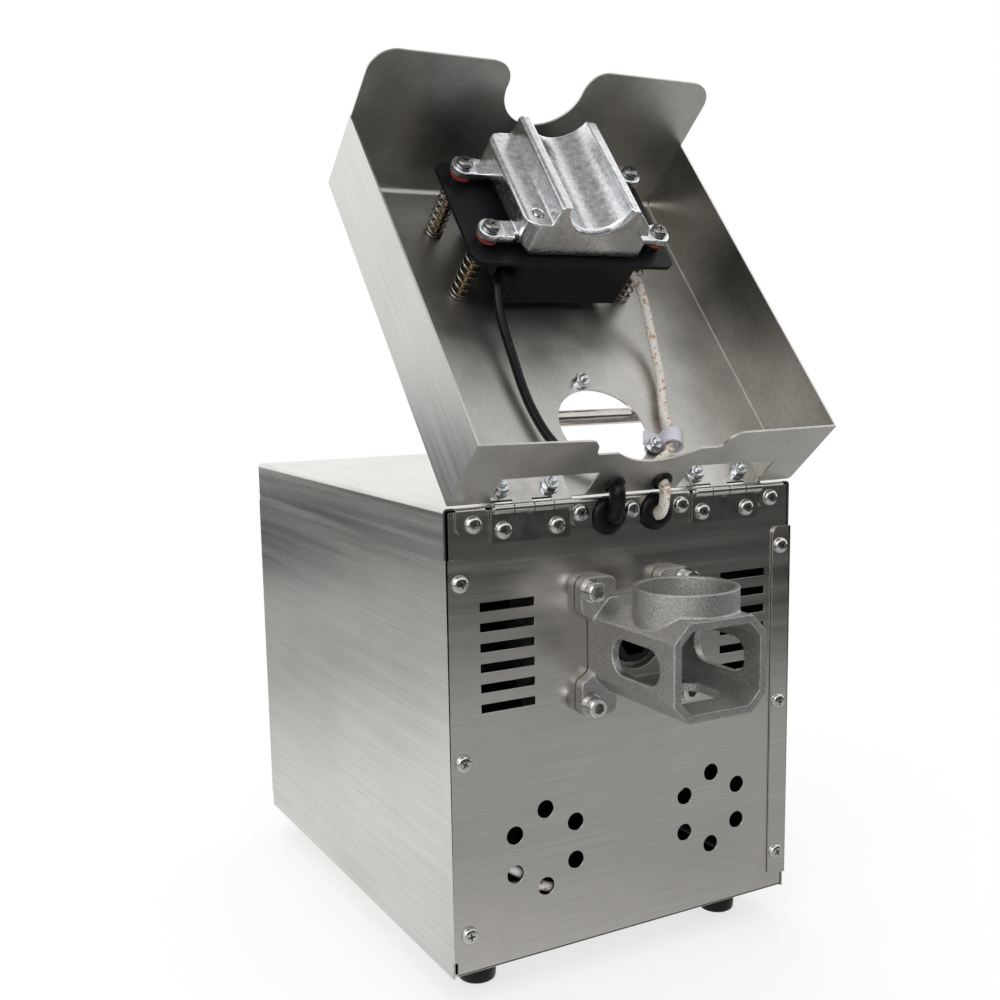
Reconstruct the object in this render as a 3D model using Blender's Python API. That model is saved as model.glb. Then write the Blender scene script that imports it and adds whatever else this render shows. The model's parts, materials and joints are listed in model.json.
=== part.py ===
"""Screw oil press: sheet steel case, cast feed throat, geared motor and a hinged hood that carries a
spring-loaded heater. The hood is modelled open, leaning back on the carrying handle.

Sizes are in millimetres and become metres when a mesh is made. Everything on the case is placed in
the case frame: X across, centred; Y backwards from the front panel's outer face; Z up from the
underside of the case. Everything on the hood is placed in the hood frame, which lies on the hinge
axis and is described with the hood shut: -Y runs out to the hood's far end and -Z down into it.
"""
from math import acos, atan2, cos, hypot, pi, radians, sin, sqrt, tan

import bmesh
import bpy
from mathutils import Vector

MM = 0.001
GAP = 0.3                    # clearance between pieces that touch
THROUGH = 1.0                # how far a cutter runs past the face that it cuts

# Case
CASE_WIDTH = 200.0
CASE_DEPTH = 270.0           # front panel face to the rear face of the cover's flanges
CASE_HEIGHT = 224.0
COVER_SHEET = 1.0
TRAY_SHEET = 1.2
TRAY_SIDE_CLEARANCE = 1.5    # between the tray's edges and the cover's sides
TRAY_TOP_CLEARANCE = 1.0
BEND_RADIUS = 2.2            # outer radius of the sheet bends
STRIP_WIDTH = 11.6           # side flanges of the cover over the front and rear panels
STRIP_BOTTOM = 8.5
STRIP_TOP = CASE_HEIGHT - 23.5
STRIP_CORNER = 3.5
TAB_DEPTH = 11.5             # tabs of the cover's top, down from its upper face
TAB_OUTER = 0.4765 * CASE_WIDTH  # outer edge of an end tab, from the middle
TAB_INNER = 0.393 * CASE_WIDTH
CENTRE_TAB_HALF = 0.17 * CASE_WIDTH
CENTRE_TAB_DEPTH = 13.0

# Front panel openings
SLOT_LENGTH = 28.7
SLOT_HEIGHT = 4.2
SLOT_PITCH = 9.62
SLOT_COUNT = 6
SLOT_OUTER = CASE_WIDTH / 2 - 16.4   # outer end of a slot, from the middle
SLOT_TOP = CASE_HEIGHT - 46.7        # centre of the highest slot
RING_HOLE_RADIUS = 4.5
RING_RADIUS = 19.6
RING_COUNT = 6
RING_X = CASE_WIDTH / 4
RING_Z = 54.5

# Feet
FOOT_HEIGHT = 16.0
FOOT_RADIUS = 9.0
FOOT_TOP_RADIUS = 10.0
FOOT_INSET_SIDE = 24.7
FOOT_INSET_END = 27.0
FOOT_STUD_RADIUS = 2.5
FOOT_STUD_LENGTH = 6.0

# Press axis and feed throat
AXIS_Z = CASE_HEIGHT - 71.6
THROAT_LENGTH = 71.5         # front panel face to the mouth
THROAT_HALF_WIDTH = 25.9
THROAT_HALF_HEIGHT = 22.8
THROAT_CHAMFER = 8.4
THROAT_WALL = 4.0
THROAT_BACK_WALL = 5.0
BARREL_BORE_RADIUS = 14.0
COLLAR_Y = 44.7              # feed collar axis, in front of the panel
COLLAR_RADIUS = 24.7
COLLAR_WALL = 2.6
COLLAR_RISE = 11.0           # above the throat's top
WINDOW_NEAR = 22.0           # side windows: from and to, in front of the panel
WINDOW_FAR = 60.0
WINDOW_HEIGHT = 17.0
FLOOR_WINDOW_NEAR = 26.0
FLOOR_WINDOW_FAR = 54.0
FLOOR_WINDOW_WIDTH = 34.0
EAR_X = 26.6
EAR_Z = 28.1
EAR_RADIUS = 9.3
EAR_THICKNESS = 6.5
THROAT_SCREW_RADIUS = 2.5
THROAT_SCREW_LENGTH = 20.0
SCREW_HEAD_RADIUS = 4.3
SCREW_HEAD_HEIGHT = 5.0
SCREW_SOCKET_RADIUS = 2.3
SCREW_SOCKET_DEPTH = 2.8
WASHER_RADIUS = 5.4
WASHER_THICKNESS = 1.2

# Hinge line and hood
HINGE_Y = -2.8
HINGE_Z = CASE_HEIGHT - 1.6
OPEN_ANGLE = 130.5
HOOD_OFFSET = 0.6            # hinge axis to the hood panel's outer face
HOOD_START = 4.0             # hinge axis to the near wall's outer face
HOOD_LENGTH = 202.3
HOOD_SHEET = 1.0
HOOD_WALL_DEPTH = 45.0
FEED_HOLE_RADIUS = 24.5
NEAR_CUT_INNER = 0.1325 * CASE_WIDTH     # cut-outs of the near wall round the hinge leaves
NEAR_CUT_OUTER = 0.3925 * CASE_WIDTH
NEAR_CUT_DEPTH = 18.5
NEAR_RIM_HALF = 36.3         # where the near wall's rim drops towards the middle
NEAR_RIM_STEP_HALF = 33.5
NEAR_RIM_STEP_DEPTH = 32.8
NEAR_ARC_HALF = 23.5
NEAR_ARC_DEPTH = 24.9
NEAR_RIM_ROUND = 7.0
EAR_WALL_DEPTH = 86.0        # the far wall's two ears
EAR_CORNER = 14.0
EAR_INNER_HALF = 34.5        # where each ear starts to fall into the notch
NOTCH_RADIUS = 22.3
NOTCH_DEPTH = 71.7           # notch centre, below the hood panel's outer face
HANDLE_LEAN = 53.0           # hinge axis to the handle, along the open hood
HANDLE_RADIUS = 4.0
HANDLE_SPAN = 0.6 * CASE_WIDTH
HANDLE_BEND = 12.0

# Butt hinges
LEAF_INNER = 0.178 * CASE_WIDTH
LEAF_WIDTH = 0.21 * CASE_WIDTH
LEAF_LENGTH = 15.8
LEAF_THICKNESS = 1.2
KNUCKLE_RADIUS = 2.4
KNUCKLE_COUNT = 4
HINGE_PIN_RADIUS = 1.25

# Grommets and leads
GROMMET_X = 13.8
GROMMET_Z = CASE_HEIGHT - 9.6
GROMMET_HOLE_RADIUS = 6.5
GROMMET_FRONT_RADIUS = 9.5
GROMMET_REAR_RADIUS = 8.0
GROMMET_FLANGE = 2.2
HOOD_GROMMET_DEPTH = 7.8     # below the hood panel's outer face
HOOD_GROMMET_HOLE_RADIUS = 4.4
HOOD_GROMMET_RADIUS = 5.6
HOOD_GROMMET_FLANGE = 1.5
LEAD_RADIUS = 2.4
LEAD_SPACING = 3.4
LEAD_SETBACK = 79.3
LEAD_OUT = HOOD_START + HOOD_LENGTH - LEAD_SETBACK   # where the leads leave the insulation box
LEAD_DEPTH = 22.0

CLIP_X = 33.0                # P-clip for the braided lead, on the hood
CLIP_OUT = 31.0
CLIP_TURN = 24.0
CLIP_WIDTH = 9.0
CLIP_REACH = 13.0
CLIP_WALL = 1.3

# Heater carriage, in the hood frame
BLOCK_SETBACK = 85.0
BLOCK_NEAR = HOOD_START + HOOD_LENGTH - BLOCK_SETBACK   # hinge axis to the heater block
BLOCK_LENGTH = 65.0
BLOCK_BASE_DEPTH = 39.3      # below the hood panel's outer face
BLOCK_BASE_HALF = 35.0
BLOCK_FOOT = 6.0             # how much narrower the left side is at its foot
BLOCK_WAIST_HALF = 36.6
BLOCK_WAIST_DEPTH = 45.5
SHOULDER_DEPTH = 58.7
SHOULDER_INNER = 24.0
FIN_DEPTH = 70.3
FIN_OUTER = 22.4
FIN_SLOPE = 2.8              # how much wider the right fin is at its foot
FIN_FOOT_DEPTH = 50.0        # where the right fin's foot meets the block's side
TROUGH_NEAR = (0.5, 72.5, 17.3)    # centre across, centre depth and radius at the near face
TROUGH_FAR = (-0.4, 76.0, 17.6)    # and at the far face: the trough gets shallower
LUG_LEFT = -49.5
LUG_RIGHT = 48.2
LUG_SETBACK = 9.3
LUG_NEAR = BLOCK_NEAR + LUG_SETBACK
LUG_PITCH = 43.3
LUG_RADIUS = 6.4
LUG_DEPTH = 42.9
LUG_THICKNESS = 4.2
CARRIAGE_SCREW_RADIUS = 2.0
CARRIAGE_HEAD_RADIUS = 4.2
CARRIAGE_HEAD_HEIGHT = 2.7
CARRIAGE_TRAVEL = 5.0
NUT_SPACE = 4.0              # thread left outside the hood for the stop nut
RED_WASHER_RADIUS = 5.2
BRACKET_SHEET = 2.3
BRACKET_DEPTH = 38.2         # the plate's face, below the hood panel's outer face
BRACKET_LEFT = -59.7
BRACKET_RIGHT = 58.0
BRACKET_CORNER = 5.5
BRACKET_LEAD = 5.0           # how far the plate stands out before the block
BRACKET_NEAR = BLOCK_NEAR - BRACKET_LEAD
BRACKET_LENGTH = 69.0
BOX_LEFT = -32.3             # insulation box under the bracket
BOX_RIGHT = 37.0
BOX_LEAD = 2.3
BOX_NEAR = BLOCK_NEAR - BOX_LEAD
BOX_LENGTH = 60.0
BOX_BOTTOM_DEPTH = 7.4
BOX_WALL = 1.5
PLATE_HEATER_THICKNESS = 6.0
SPRING_RADIUS = 4.4
SPRING_WIRE_RADIUS = 0.55
SPRING_TURNS = 8
SPRING_SEGMENTS = 10
SENSOR_HOLE_RADIUS = 2.9
SENSOR_X = -28.6
SENSOR_FROM_NEAR = 8.5
SENSOR_DEPTH = 9.0

# Gear train: case frame, all shafts parallel to Y
OUTPUT_TEETH = 36
PINION_TEETH = 12
FIRST_MODULE = 2.0
WHEEL_TEETH = 32
MOTOR_TEETH = 8
SECOND_MODULE = 1.5
BACKLASH = 0.36
COUNTERSHAFT_X = 24.0
GEARBOX_RADIUS = 44.0
GEARBOX_WALL = 4.0
GEARBOX_FRONT = 1.6          # behind the front panel's outer face
GEARBOX_SPLIT = 30.0
GEARBOX_BACK = 49.0
GEARBOX_BOSS_RADIUS = 20.0
GEARBOX_LOWER_X = 12.0
GEARBOX_LOWER_Z = AXIS_Z - 46.4
FIRST_GEAR_Y = 9.0
FIRST_GEAR_WIDTH = 14.0
SECOND_GEAR_Y = 27.5
SECOND_GEAR_WIDTH = 10.0
OUTPUT_SHAFT_RADIUS = 11.5
OUTPUT_JOURNAL_RADIUS = 8.0
OUTPUT_SHAFT_FRONT = -3.0
OUTPUT_SHOULDER_Y = 25.0
BEARING_OUTER_RADIUS = 16.5
BEARING_WIDTH = 5.0
SOCKET_FLATS = 15.0
SOCKET_DEPTH = 26.0
COUNTERSHAFT_RADIUS = 5.0

# Motor
MOTOR_RADIUS = 39.0
MOTOR_WALL = 9.5             # the can with the field magnets inside it
MOTOR_LENGTH = 104.0
MOTOR_FRONT_WALL = 5.0
MOTOR_CAP_LENGTH = 14.0
ROTOR_RADIUS = 26.0
ROTOR_LENGTH = 62.0
MOTOR_SHAFT_RADIUS = 3.6
FAN_RADIUS = 33.0
FAN_BLADES = 7
FAN_LENGTH = 11.0

# Electrics
SWITCH_LENGTH = 30.0
SWITCH_HEIGHT = 22.0
SWITCH_FLANGE = 1.6
SWITCH_BODY_DEPTH = 19.0
SWITCH_BORDER = 2.6
SWITCH_X = 28.0              # the two switches stand either side of the middle of the rear panel
SWITCH_Z = CASE_HEIGHT - 48.0
ROCKER_TILT = 10.0           # either way from level
ROCKER_PIVOT = 4.5           # inside the rear panel's outer face
ROCKER_RISE = 2.2
ROCKER_EASE = 1.2
INLET_X = 44.0 - CASE_WIDTH / 2
INLET_Z = 52.0
INLET_WIDTH = 27.6
INLET_HEIGHT = 20.6
INLET_FLANGE_WIDTH = 46.0
INLET_FLANGE_HEIGHT = 24.0
INLET_FLANGE = 2.4
INLET_BODY_DEPTH = 22.0
INLET_RECESS_DEPTH = 16.0
VENT_LENGTH = 70.0
VENT_HEIGHT = 4.5
VENT_PITCH = 10.0
VENT_COUNT = 7
VENT_TOP = CASE_HEIGHT - 96.0

# Worked out from the sizes above
HALF_WIDTH = CASE_WIDTH / 2
TRAY_HALF = HALF_WIDTH - COVER_SHEET - TRAY_SIDE_CLEARANCE
TRAY_DEPTH = CASE_DEPTH - GAP - COVER_SHEET
TRAY_TOP = CASE_HEIGHT - COVER_SHEET - TRAY_TOP_CLEARANCE
FLANGE_FACE = GAP + COVER_SHEET
ROCKER_EDGE = ROCKER_PIVOT + SWITCH_FLANGE + ROCKER_RISE
ROCKER_HALF_LENGTH = SWITCH_LENGTH / 2 - SWITCH_BORDER - 2.0
BACKMOST = (TRAY_DEPTH - ROCKER_PIVOT + ROCKER_EDGE * cos(radians(ROCKER_TILT))
            + (ROCKER_HALF_LENGTH - ROCKER_EASE) * sin(radians(ROCKER_TILT)))
MIDDLE_Y = (BACKMOST - THROAT_LENGTH) / 2
HOOD_END = HOOD_START + HOOD_LENGTH
GROMMET_IN = HOOD_START + HOOD_SHEET + 7.0
CLIP_DEPTH = HOOD_SHEET + GAP + LEAD_RADIUS + GAP + CLIP_WALL
OUTPUT_TIP_RADIUS = FIRST_MODULE * (OUTPUT_TEETH / 2 + 1)
FIRST_CENTRES = FIRST_MODULE * (OUTPUT_TEETH + PINION_TEETH) / 2
SECOND_CENTRES = SECOND_MODULE * (WHEEL_TEETH + MOTOR_TEETH) / 2
COUNTERSHAFT_Z = AXIS_Z - sqrt(FIRST_CENTRES ** 2 - COUNTERSHAFT_X ** 2)
MOTOR_Z = COUNTERSHAFT_Z - sqrt(SECOND_CENTRES ** 2 - COUNTERSHAFT_X ** 2)
MOTOR_FRONT = GEARBOX_BACK + GAP
MOTOR_BACK = MOTOR_FRONT + MOTOR_LENGTH


def clear_scene():
    for item in list(bpy.data.objects):
        bpy.data.objects.remove(item)


def material(name, colour, roughness, metallic):
    made = bpy.data.materials.new(name)
    made.use_nodes = True
    made.diffuse_color = (*colour, 1.0)
    shader = made.node_tree.nodes["Principled BSDF"]
    shader.inputs["Base Color"].default_value = (*colour, 1.0)
    shader.inputs["Roughness"].default_value = roughness
    shader.inputs["Metallic"].default_value = metallic
    return made


def frame_at(name, parent, place, tilt=0.0):
    """An empty that carries pieces; place in millimetres in its parent's frame, tilt about X."""
    made = bpy.data.objects.new(name, None)
    bpy.context.collection.objects.link(made)
    made.parent = parent
    made.location = [value * MM for value in place]
    made.rotation_euler = (radians(tilt), 0.0, 0.0)
    return made


# Outlines

def circle(radius, centre=(0.0, 0.0), count=24):
    return [(centre[0] + radius * cos(2 * pi * k / count),
             centre[1] + radius * sin(2 * pi * k / count)) for k in range(count)]


def arc(centre, radius, start, end, steps):
    """Points on an arc, angles in degrees."""
    turn = [radians(start + (end - start) * k / steps) for k in range(steps + 1)]
    return [(centre[0] + radius * cos(a), centre[1] + radius * sin(a)) for a in turn]


def rectangle(low, high):
    return [(low[0], low[1]), (high[0], low[1]), (high[0], high[1]), (low[0], high[1])]


def rounded_rectangle(low, high, radius, steps=3):
    return (arc((high[0] - radius, high[1] - radius), radius, 0, 90, steps)
            + arc((low[0] + radius, high[1] - radius), radius, 90, 180, steps)
            + arc((low[0] + radius, low[1] + radius), radius, 180, 270, steps)
            + arc((high[0] - radius, low[1] + radius), radius, 270, 360, steps))


def octagon(half_width, half_height, chamfer, centre_z):
    corner_x = half_width - chamfer
    corner_z = half_height - chamfer
    quarter = [(half_width, corner_z), (corner_x, half_height)]
    points = quarter + [(-x, z) for x, z in reversed(quarter)]
    points += [(-x, -z) for x, z in quarter] + [(x, -z) for x, z in reversed(quarter)]
    return [(x, centre_z + z) for x, z in points]


def turned_towards(points, angle, centre=(0.0, 0.0)):
    """The points turned about the origin, then moved to the centre."""
    c, s = cos(angle), sin(angle)
    return [(centre[0] + x * c - y * s, centre[1] + x * s + y * c) for x, y in points]


def bent_sheet(path, thickness, outer_radius, side, steps=3):
    """Outline of a bent strip. The path is one face of the sheet; side is 1 if the sheet lies to
    the path's left and -1 if it lies to its right."""
    corners = [Vector(point) for point in path]
    first, second = [], []
    for k, corner in enumerate(corners):
        before = (corner - corners[k - 1]).normalized() if k else None
        after = (corners[k + 1] - corner).normalized() if k + 1 < len(corners) else None
        if before is None or after is None:
            along = after if before is None else before
            normal = Vector((-along.y, along.x)) * side
            first.append(tuple(corner))
            second.append(tuple(corner + normal * thickness))
            continue
        bend = before.x * after.y - before.y * after.x
        way = 1 if bend > 0 else -1
        inside = way == side
        path_radius = outer_radius if inside else outer_radius - thickness
        turn = acos(max(-1.0, min(1.0, before.dot(after))))
        back = path_radius * tan(turn / 2)
        normal = Vector((-before.y, before.x)) * way
        centre = corner - before * back + normal * path_radius
        start = atan2(-normal.y, -normal.x)
        far_radius = outer_radius - thickness if inside else outer_radius
        for step in range(steps + 1):
            angle = start + way * turn * step / steps
            ray = Vector((cos(angle), sin(angle)))
            first.append(tuple(centre + ray * path_radius))
            second.append(tuple(centre + ray * far_radius))
    return first + second[::-1]


def gear_outline(teeth, module, pressure=radians(20)):
    """Spur gear with one tooth centred on +X and three points on each flank."""
    pitch = teeth * module / 2
    base = pitch * cos(pressure)
    tip = pitch + 0.92 * module
    root = pitch - 1.2 * module
    half_at_pitch = (pi * module / 2 - BACKLASH) / (2 * pitch)

    def half_angle(radius):
        reach = acos(min(1.0, base / radius))
        return half_at_pitch + (tan(pressure) - pressure) - (tan(reach) - reach)

    foot = max(root, base)
    rise = [(root, half_angle(foot)), (pitch, half_at_pitch), (tip, half_angle(tip))]
    points = []
    for k in range(teeth):
        middle = 2 * pi * k / teeth
        flank = [(r, middle - h) for r, h in rise] + [(r, middle + h) for r, h in reversed(rise)]
        points += [(r * cos(a), r * sin(a)) for r, a in flank]
    return points


# Solids, made as bmesh in millimetres

AXES = {"X": (1, 2, 0), "Y": (0, 2, 1), "Z": (0, 1, 2)}


def prism(outline, low, high, axis, hole=None, last=None):
    """An outline drawn across an axis and run along it, with an optional inner outline. Where
    the last outline differs from the first, the sides run from one to the other."""
    first, second, along = AXES[axis]
    made = bmesh.new()

    def ring(points, height):
        found = []
        for a, b in points:
            place = [0.0, 0.0, 0.0]
            place[first], place[second], place[along] = a, b, height
            found.append(made.verts.new(place))
        return found

    lower, upper = ring(outline, low), ring(last or outline, high)
    sides = [(lower, upper)]
    if hole:
        sides.append((ring(hole, low), ring(hole, high)))
    for bottom, top in sides:
        count = len(bottom)
        for k in range(count):
            corners = (bottom[k], bottom[(k + 1) % count], top[(k + 1) % count], top[k])
            for face in ((corners[:3], (corners[0], *corners[2:])) if last else (corners,)):
                made.faces.new(face)
    if hole:
        for level in (0, 1):
            rims = []
            for pair in sides:
                rim = pair[level]
                rims += [made.edges.get((rim[k], rim[k - 1])) for k in range(len(rim))]
            bmesh.ops.triangle_fill(made, use_beauty=True, edges=rims)
    else:
        made.faces.new(lower)
        made.faces.new(upper)
    bmesh.ops.recalc_face_normals(made, faces=made.faces)
    return made


def block(low, high):
    return prism(rectangle((low[0], low[1]), (high[0], high[1])), low[2], high[2], "Z")


def rod(radius, low, high, axis, centre=(0.0, 0.0), count=20):
    return prism(circle(radius, centre, count), low, high, axis)


def turned(profile, centre, axis, count=24, closed=False):
    """A profile of (radius, height) turned about an axis. A closed profile makes a ring."""
    first, second, along = AXES[axis]
    made = bmesh.new()
    rings = []
    for radius, height in profile:
        row = []
        for k in range(count if radius > 0 else 1):
            place = [0.0, 0.0, 0.0]
            place[first] = centre[0] + radius * cos(2 * pi * k / count)
            place[second] = centre[1] + radius * sin(2 * pi * k / count)
            place[along] = height
            row.append(made.verts.new(place))
        rings.append(row)
    pairs = list(zip(rings, rings[1:]))
    if closed:
        pairs.append((rings[-1], rings[0]))
    for one, two in pairs:
        for k in range(count):
            n = (k + 1) % count
            corners = [one[k % len(one)], one[n % len(one)], two[n % len(two)], two[k % len(two)]]
            corners = [v for i, v in enumerate(corners) if v not in corners[:i]]
            if len(corners) > 2:
                made.faces.new(corners)
    bmesh.ops.recalc_face_normals(made, faces=made.faces)
    return made


def together(*shapes):
    """Shapes that don't meet, in one mesh, for a cutter or an addition."""
    mesh = bpy.data.meshes.new("gathered")
    made = bmesh.new()
    for shape in shapes:
        shape.to_mesh(mesh)
        shape.free()
        made.from_mesh(mesh)
    bpy.data.meshes.remove(mesh)
    return made


# Objects

def object_of(name, shape, finish, parent, smooth=30.0):
    bmesh.ops.scale(shape, vec=(MM, MM, MM), verts=shape.verts)
    mesh = bpy.data.meshes.new(name)
    shape.to_mesh(mesh)
    shape.free()
    mesh.materials.append(finish)
    mesh.shade_smooth()
    mesh.set_sharp_from_angle(angle=radians(smooth))
    made = bpy.data.objects.new(name, mesh)
    bpy.context.collection.objects.link(made)
    made.parent = parent
    return made


def combine(target, shape, operation):
    helper = object_of(target.name + "_tool", shape, target.data.materials[0], target)
    helper.hide_render = True
    helper.display_type = "WIRE"
    change = target.modifiers.new(operation.lower(), "BOOLEAN")
    change.operation = operation
    change.solver = "EXACT"
    change.object = helper


def piece(name, base, finish, parent, add=(), cut=()):
    made = object_of(name, base, finish, parent)
    for shape in add:
        combine(made, shape, "UNION")
    for shape in cut:
        combine(made, shape, "DIFFERENCE")
    return made


def tube(name, points, radius, sides_step, finish, parent):
    """A round bar along a list of points."""
    curve = bpy.data.curves.new(name, "CURVE")
    curve.dimensions = "3D"
    curve.bevel_depth = radius * MM
    curve.bevel_resolution = sides_step
    curve.use_fill_caps = True
    spline = curve.splines.new("POLY")
    spline.points.add(len(points) - 1)
    for slot, point in zip(spline.points, points):
        slot.co = (*[value * MM for value in point], 1.0)
    curve.materials.append(finish)
    made = bpy.data.objects.new(name, curve)
    bpy.context.collection.objects.link(made)
    made.parent = parent
    return made


def smooth_route(points, spacing):
    """Points at an even spacing on a Catmull-Rom curve through hand-placed points."""
    line = [Vector(point) for point in points]
    line = [2 * line[0] - line[1], *line, 2 * line[-1] - line[-2]]
    fine = []
    for a, b, c, d in zip(line, line[1:], line[2:], line[3:]):
        for step in range(24):
            t = step / 24
            fine.append(0.5 * (2 * b + (c - a) * t + (2 * a - 5 * b + 4 * c - d) * t * t
                               + (3 * b - a - 3 * c + d) * t ** 3))
    fine.append(line[-2])
    reach = [0.0]
    for one, two in zip(fine, fine[1:]):
        reach.append(reach[-1] + (two - one).length)
    count = round(reach[-1] / spacing)
    found, k = [], 0
    for step in range(count + 1):
        wanted = reach[-1] * step / count
        while k < len(fine) - 2 and reach[k + 1] < wanted:
            k += 1
        share = (wanted - reach[k]) / (reach[k + 1] - reach[k])
        found.append(tuple(fine[k].lerp(fine[k + 1], min(1.0, share))))
    return found


def in_case(point):
    """A point of the hood frame, given as (x, out from the hinge, below the outer face), in the
    case frame with the hood open."""
    turn = radians(-OPEN_ANGLE)
    y, z = -point[1], HOOD_OFFSET - point[2]
    return (point[0], HINGE_Y + y * cos(turn) - z * sin(turn),
            HINGE_Z + y * sin(turn) + z * cos(turn))


# Case

def lug_places():
    return [(x, AXIS_Z + z) for z in (EAR_Z, -EAR_Z) for x in (-EAR_X, EAR_X)]


def chassis_tray(finish, parent):
    path = [(0.0, TRAY_TOP), (0.0, 0.0), (TRAY_DEPTH, 0.0), (TRAY_DEPTH, TRAY_TOP)]
    sheet = prism(bent_sheet(path, TRAY_SHEET, BEND_RADIUS, 1), -TRAY_HALF, TRAY_HALF, "X")
    front_low, front_high = -THROUGH, TRAY_SHEET + THROUGH
    slots = []
    for side in (-1, 1):
        for k in range(SLOT_COUNT):
            z = SLOT_TOP - k * SLOT_PITCH
            ends = sorted((side * SLOT_OUTER, side * (SLOT_OUTER - SLOT_LENGTH)))
            slots.append(block((ends[0], front_low, z - SLOT_HEIGHT / 2),
                               (ends[1], front_high, z + SLOT_HEIGHT / 2)))
    holes = []
    for side in (-1, 1):
        for k in range(RING_COUNT):
            angle = pi / 2 + 2 * pi * k / RING_COUNT
            place = (side * RING_X + RING_RADIUS * cos(angle), RING_Z + RING_RADIUS * sin(angle))
            holes.append(rod(RING_HOLE_RADIUS, front_low, front_high, "Y", place, 14))
        grommet = (side * GROMMET_X, GROMMET_Z)
        holes.append(rod(GROMMET_HOLE_RADIUS, front_low, front_high, "Y", grommet, 16))
    for place in lug_places():
        holes.append(rod(THROAT_SCREW_RADIUS + GAP, front_low, front_high, "Y", place, 12))
    holes.append(rod(GEARBOX_BOSS_RADIUS + GAP, front_low, front_high, "Y", (0.0, AXIS_Z), 28))
    rear_low, rear_high = TRAY_DEPTH - TRAY_SHEET - THROUGH, TRAY_DEPTH + THROUGH
    inlet = block((INLET_X - INLET_WIDTH / 2, rear_low, INLET_Z - INLET_HEIGHT / 2),
                  (INLET_X + INLET_WIDTH / 2, rear_high, INLET_Z + INLET_HEIGHT / 2))
    vents = [block((-VENT_LENGTH / 2, rear_low, VENT_TOP - k * VENT_PITCH - VENT_HEIGHT / 2),
                   (VENT_LENGTH / 2, rear_high, VENT_TOP - k * VENT_PITCH + VENT_HEIGHT / 2))
             for k in range(VENT_COUNT)]
    studs = [rod(FOOT_STUD_RADIUS + GAP, -THROUGH, TRAY_SHEET + THROUGH, "Z", place, 10)
             for place in foot_places()]
    length, width = SWITCH_LENGTH / 2 - SWITCH_BORDER, SWITCH_HEIGHT / 2 - SWITCH_BORDER
    sockets = [block((side * SWITCH_X - width - GAP, rear_low, SWITCH_Z - length - GAP),
                     (side * SWITCH_X + width + GAP, rear_high, SWITCH_Z + length + GAP))
               for side in (-1, 1)]
    piece("chassis_tray", sheet, finish, parent,
          cut=[together(*slots, *holes), together(inlet, *vents, *studs, *sockets)])


def outer_cover(finish, parent):
    half, top = HALF_WIDTH, CASE_HEIGHT
    path = [(-half, 0.0), (-half, top), (half, top), (half, 0.0)]
    shell = prism(bent_sheet(path, COVER_SHEET, BEND_RADIUS, -1), -FLANGE_FACE, CASE_DEPTH, "Y")
    clear_low = top - COVER_SHEET - THROUGH
    inner = half - COVER_SHEET - BEND_RADIUS
    front_gap = block((-inner, -FLANGE_FACE - THROUGH, clear_low), (inner, GAP, top + THROUGH))
    rear_gap = block((-inner, TRAY_DEPTH + GAP / 2, clear_low),
                     (inner, CASE_DEPTH + THROUGH, top + THROUGH))
    flanges = []
    for face, reach in ((-FLANGE_FACE, GAP + 2 * COVER_SHEET),
                        (CASE_DEPTH - COVER_SHEET, -GAP - 2 * COVER_SHEET)):
        for side in (-1, 1):
            ends = sorted((side * (half - 0.1), side * (half - STRIP_WIDTH)))
            outline = rounded_rectangle((ends[0], STRIP_BOTTOM), (ends[1], STRIP_TOP), STRIP_CORNER)
            flanges.append(prism(outline, face, face + COVER_SHEET, "Y"))
            ends = sorted((side * TAB_OUTER, side * TAB_INNER))
            flanges.append(tab_on(ends, TAB_DEPTH, face, reach))
        flanges.append(tab_on((-CENTRE_TAB_HALF, CENTRE_TAB_HALF), CENTRE_TAB_DEPTH, face, reach))
    notches = [rod(GROMMET_FRONT_RADIUS + GAP, -FLANGE_FACE - THROUGH, GAP + 0.1, "Y",
                   (side * GROMMET_X, GROMMET_Z), 20) for side in (-1, 1)]
    cover = piece("outer_cover", shell, finish, parent, cut=[together(front_gap, rear_gap)])
    for flange in flanges:
        combine(cover, flange, "UNION")
    combine(cover, together(*notches), "DIFFERENCE")


def tab_on(ends, depth, face, reach):
    """A tab bent down from the cover's top: an L of sheet, run along X."""
    top = CASE_HEIGHT
    outer = face if face < 0 else face + COVER_SHEET
    way = 1 if face < 0 else -1
    path = [(outer, top - depth), (outer, top), (outer + way * (abs(reach) + COVER_SHEET), top)]
    outline = bent_sheet(path, COVER_SHEET, BEND_RADIUS, -way)
    return prism(outline, ends[0], ends[1], "X")


def foot_places():
    x = HALF_WIDTH - FOOT_INSET_SIDE
    return [(side * x, y) for y in (FOOT_INSET_END, CASE_DEPTH - FOOT_INSET_END)
            for side in (-1, 1)]


def feet(finish, parent):
    names = ("foot_front_left", "foot_front_right", "foot_rear_left", "foot_rear_right")
    for name, place in zip(names, foot_places()):
        profile = [(0.0, -FOOT_HEIGHT), (FOOT_RADIUS, -FOOT_HEIGHT), (FOOT_TOP_RADIUS, -GAP),
                   (FOOT_STUD_RADIUS, -GAP), (FOOT_STUD_RADIUS, FOOT_STUD_LENGTH),
                   (0.0, FOOT_STUD_LENGTH)]
        piece(name, turned(profile, place, "Z", 18), finish, parent)


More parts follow.
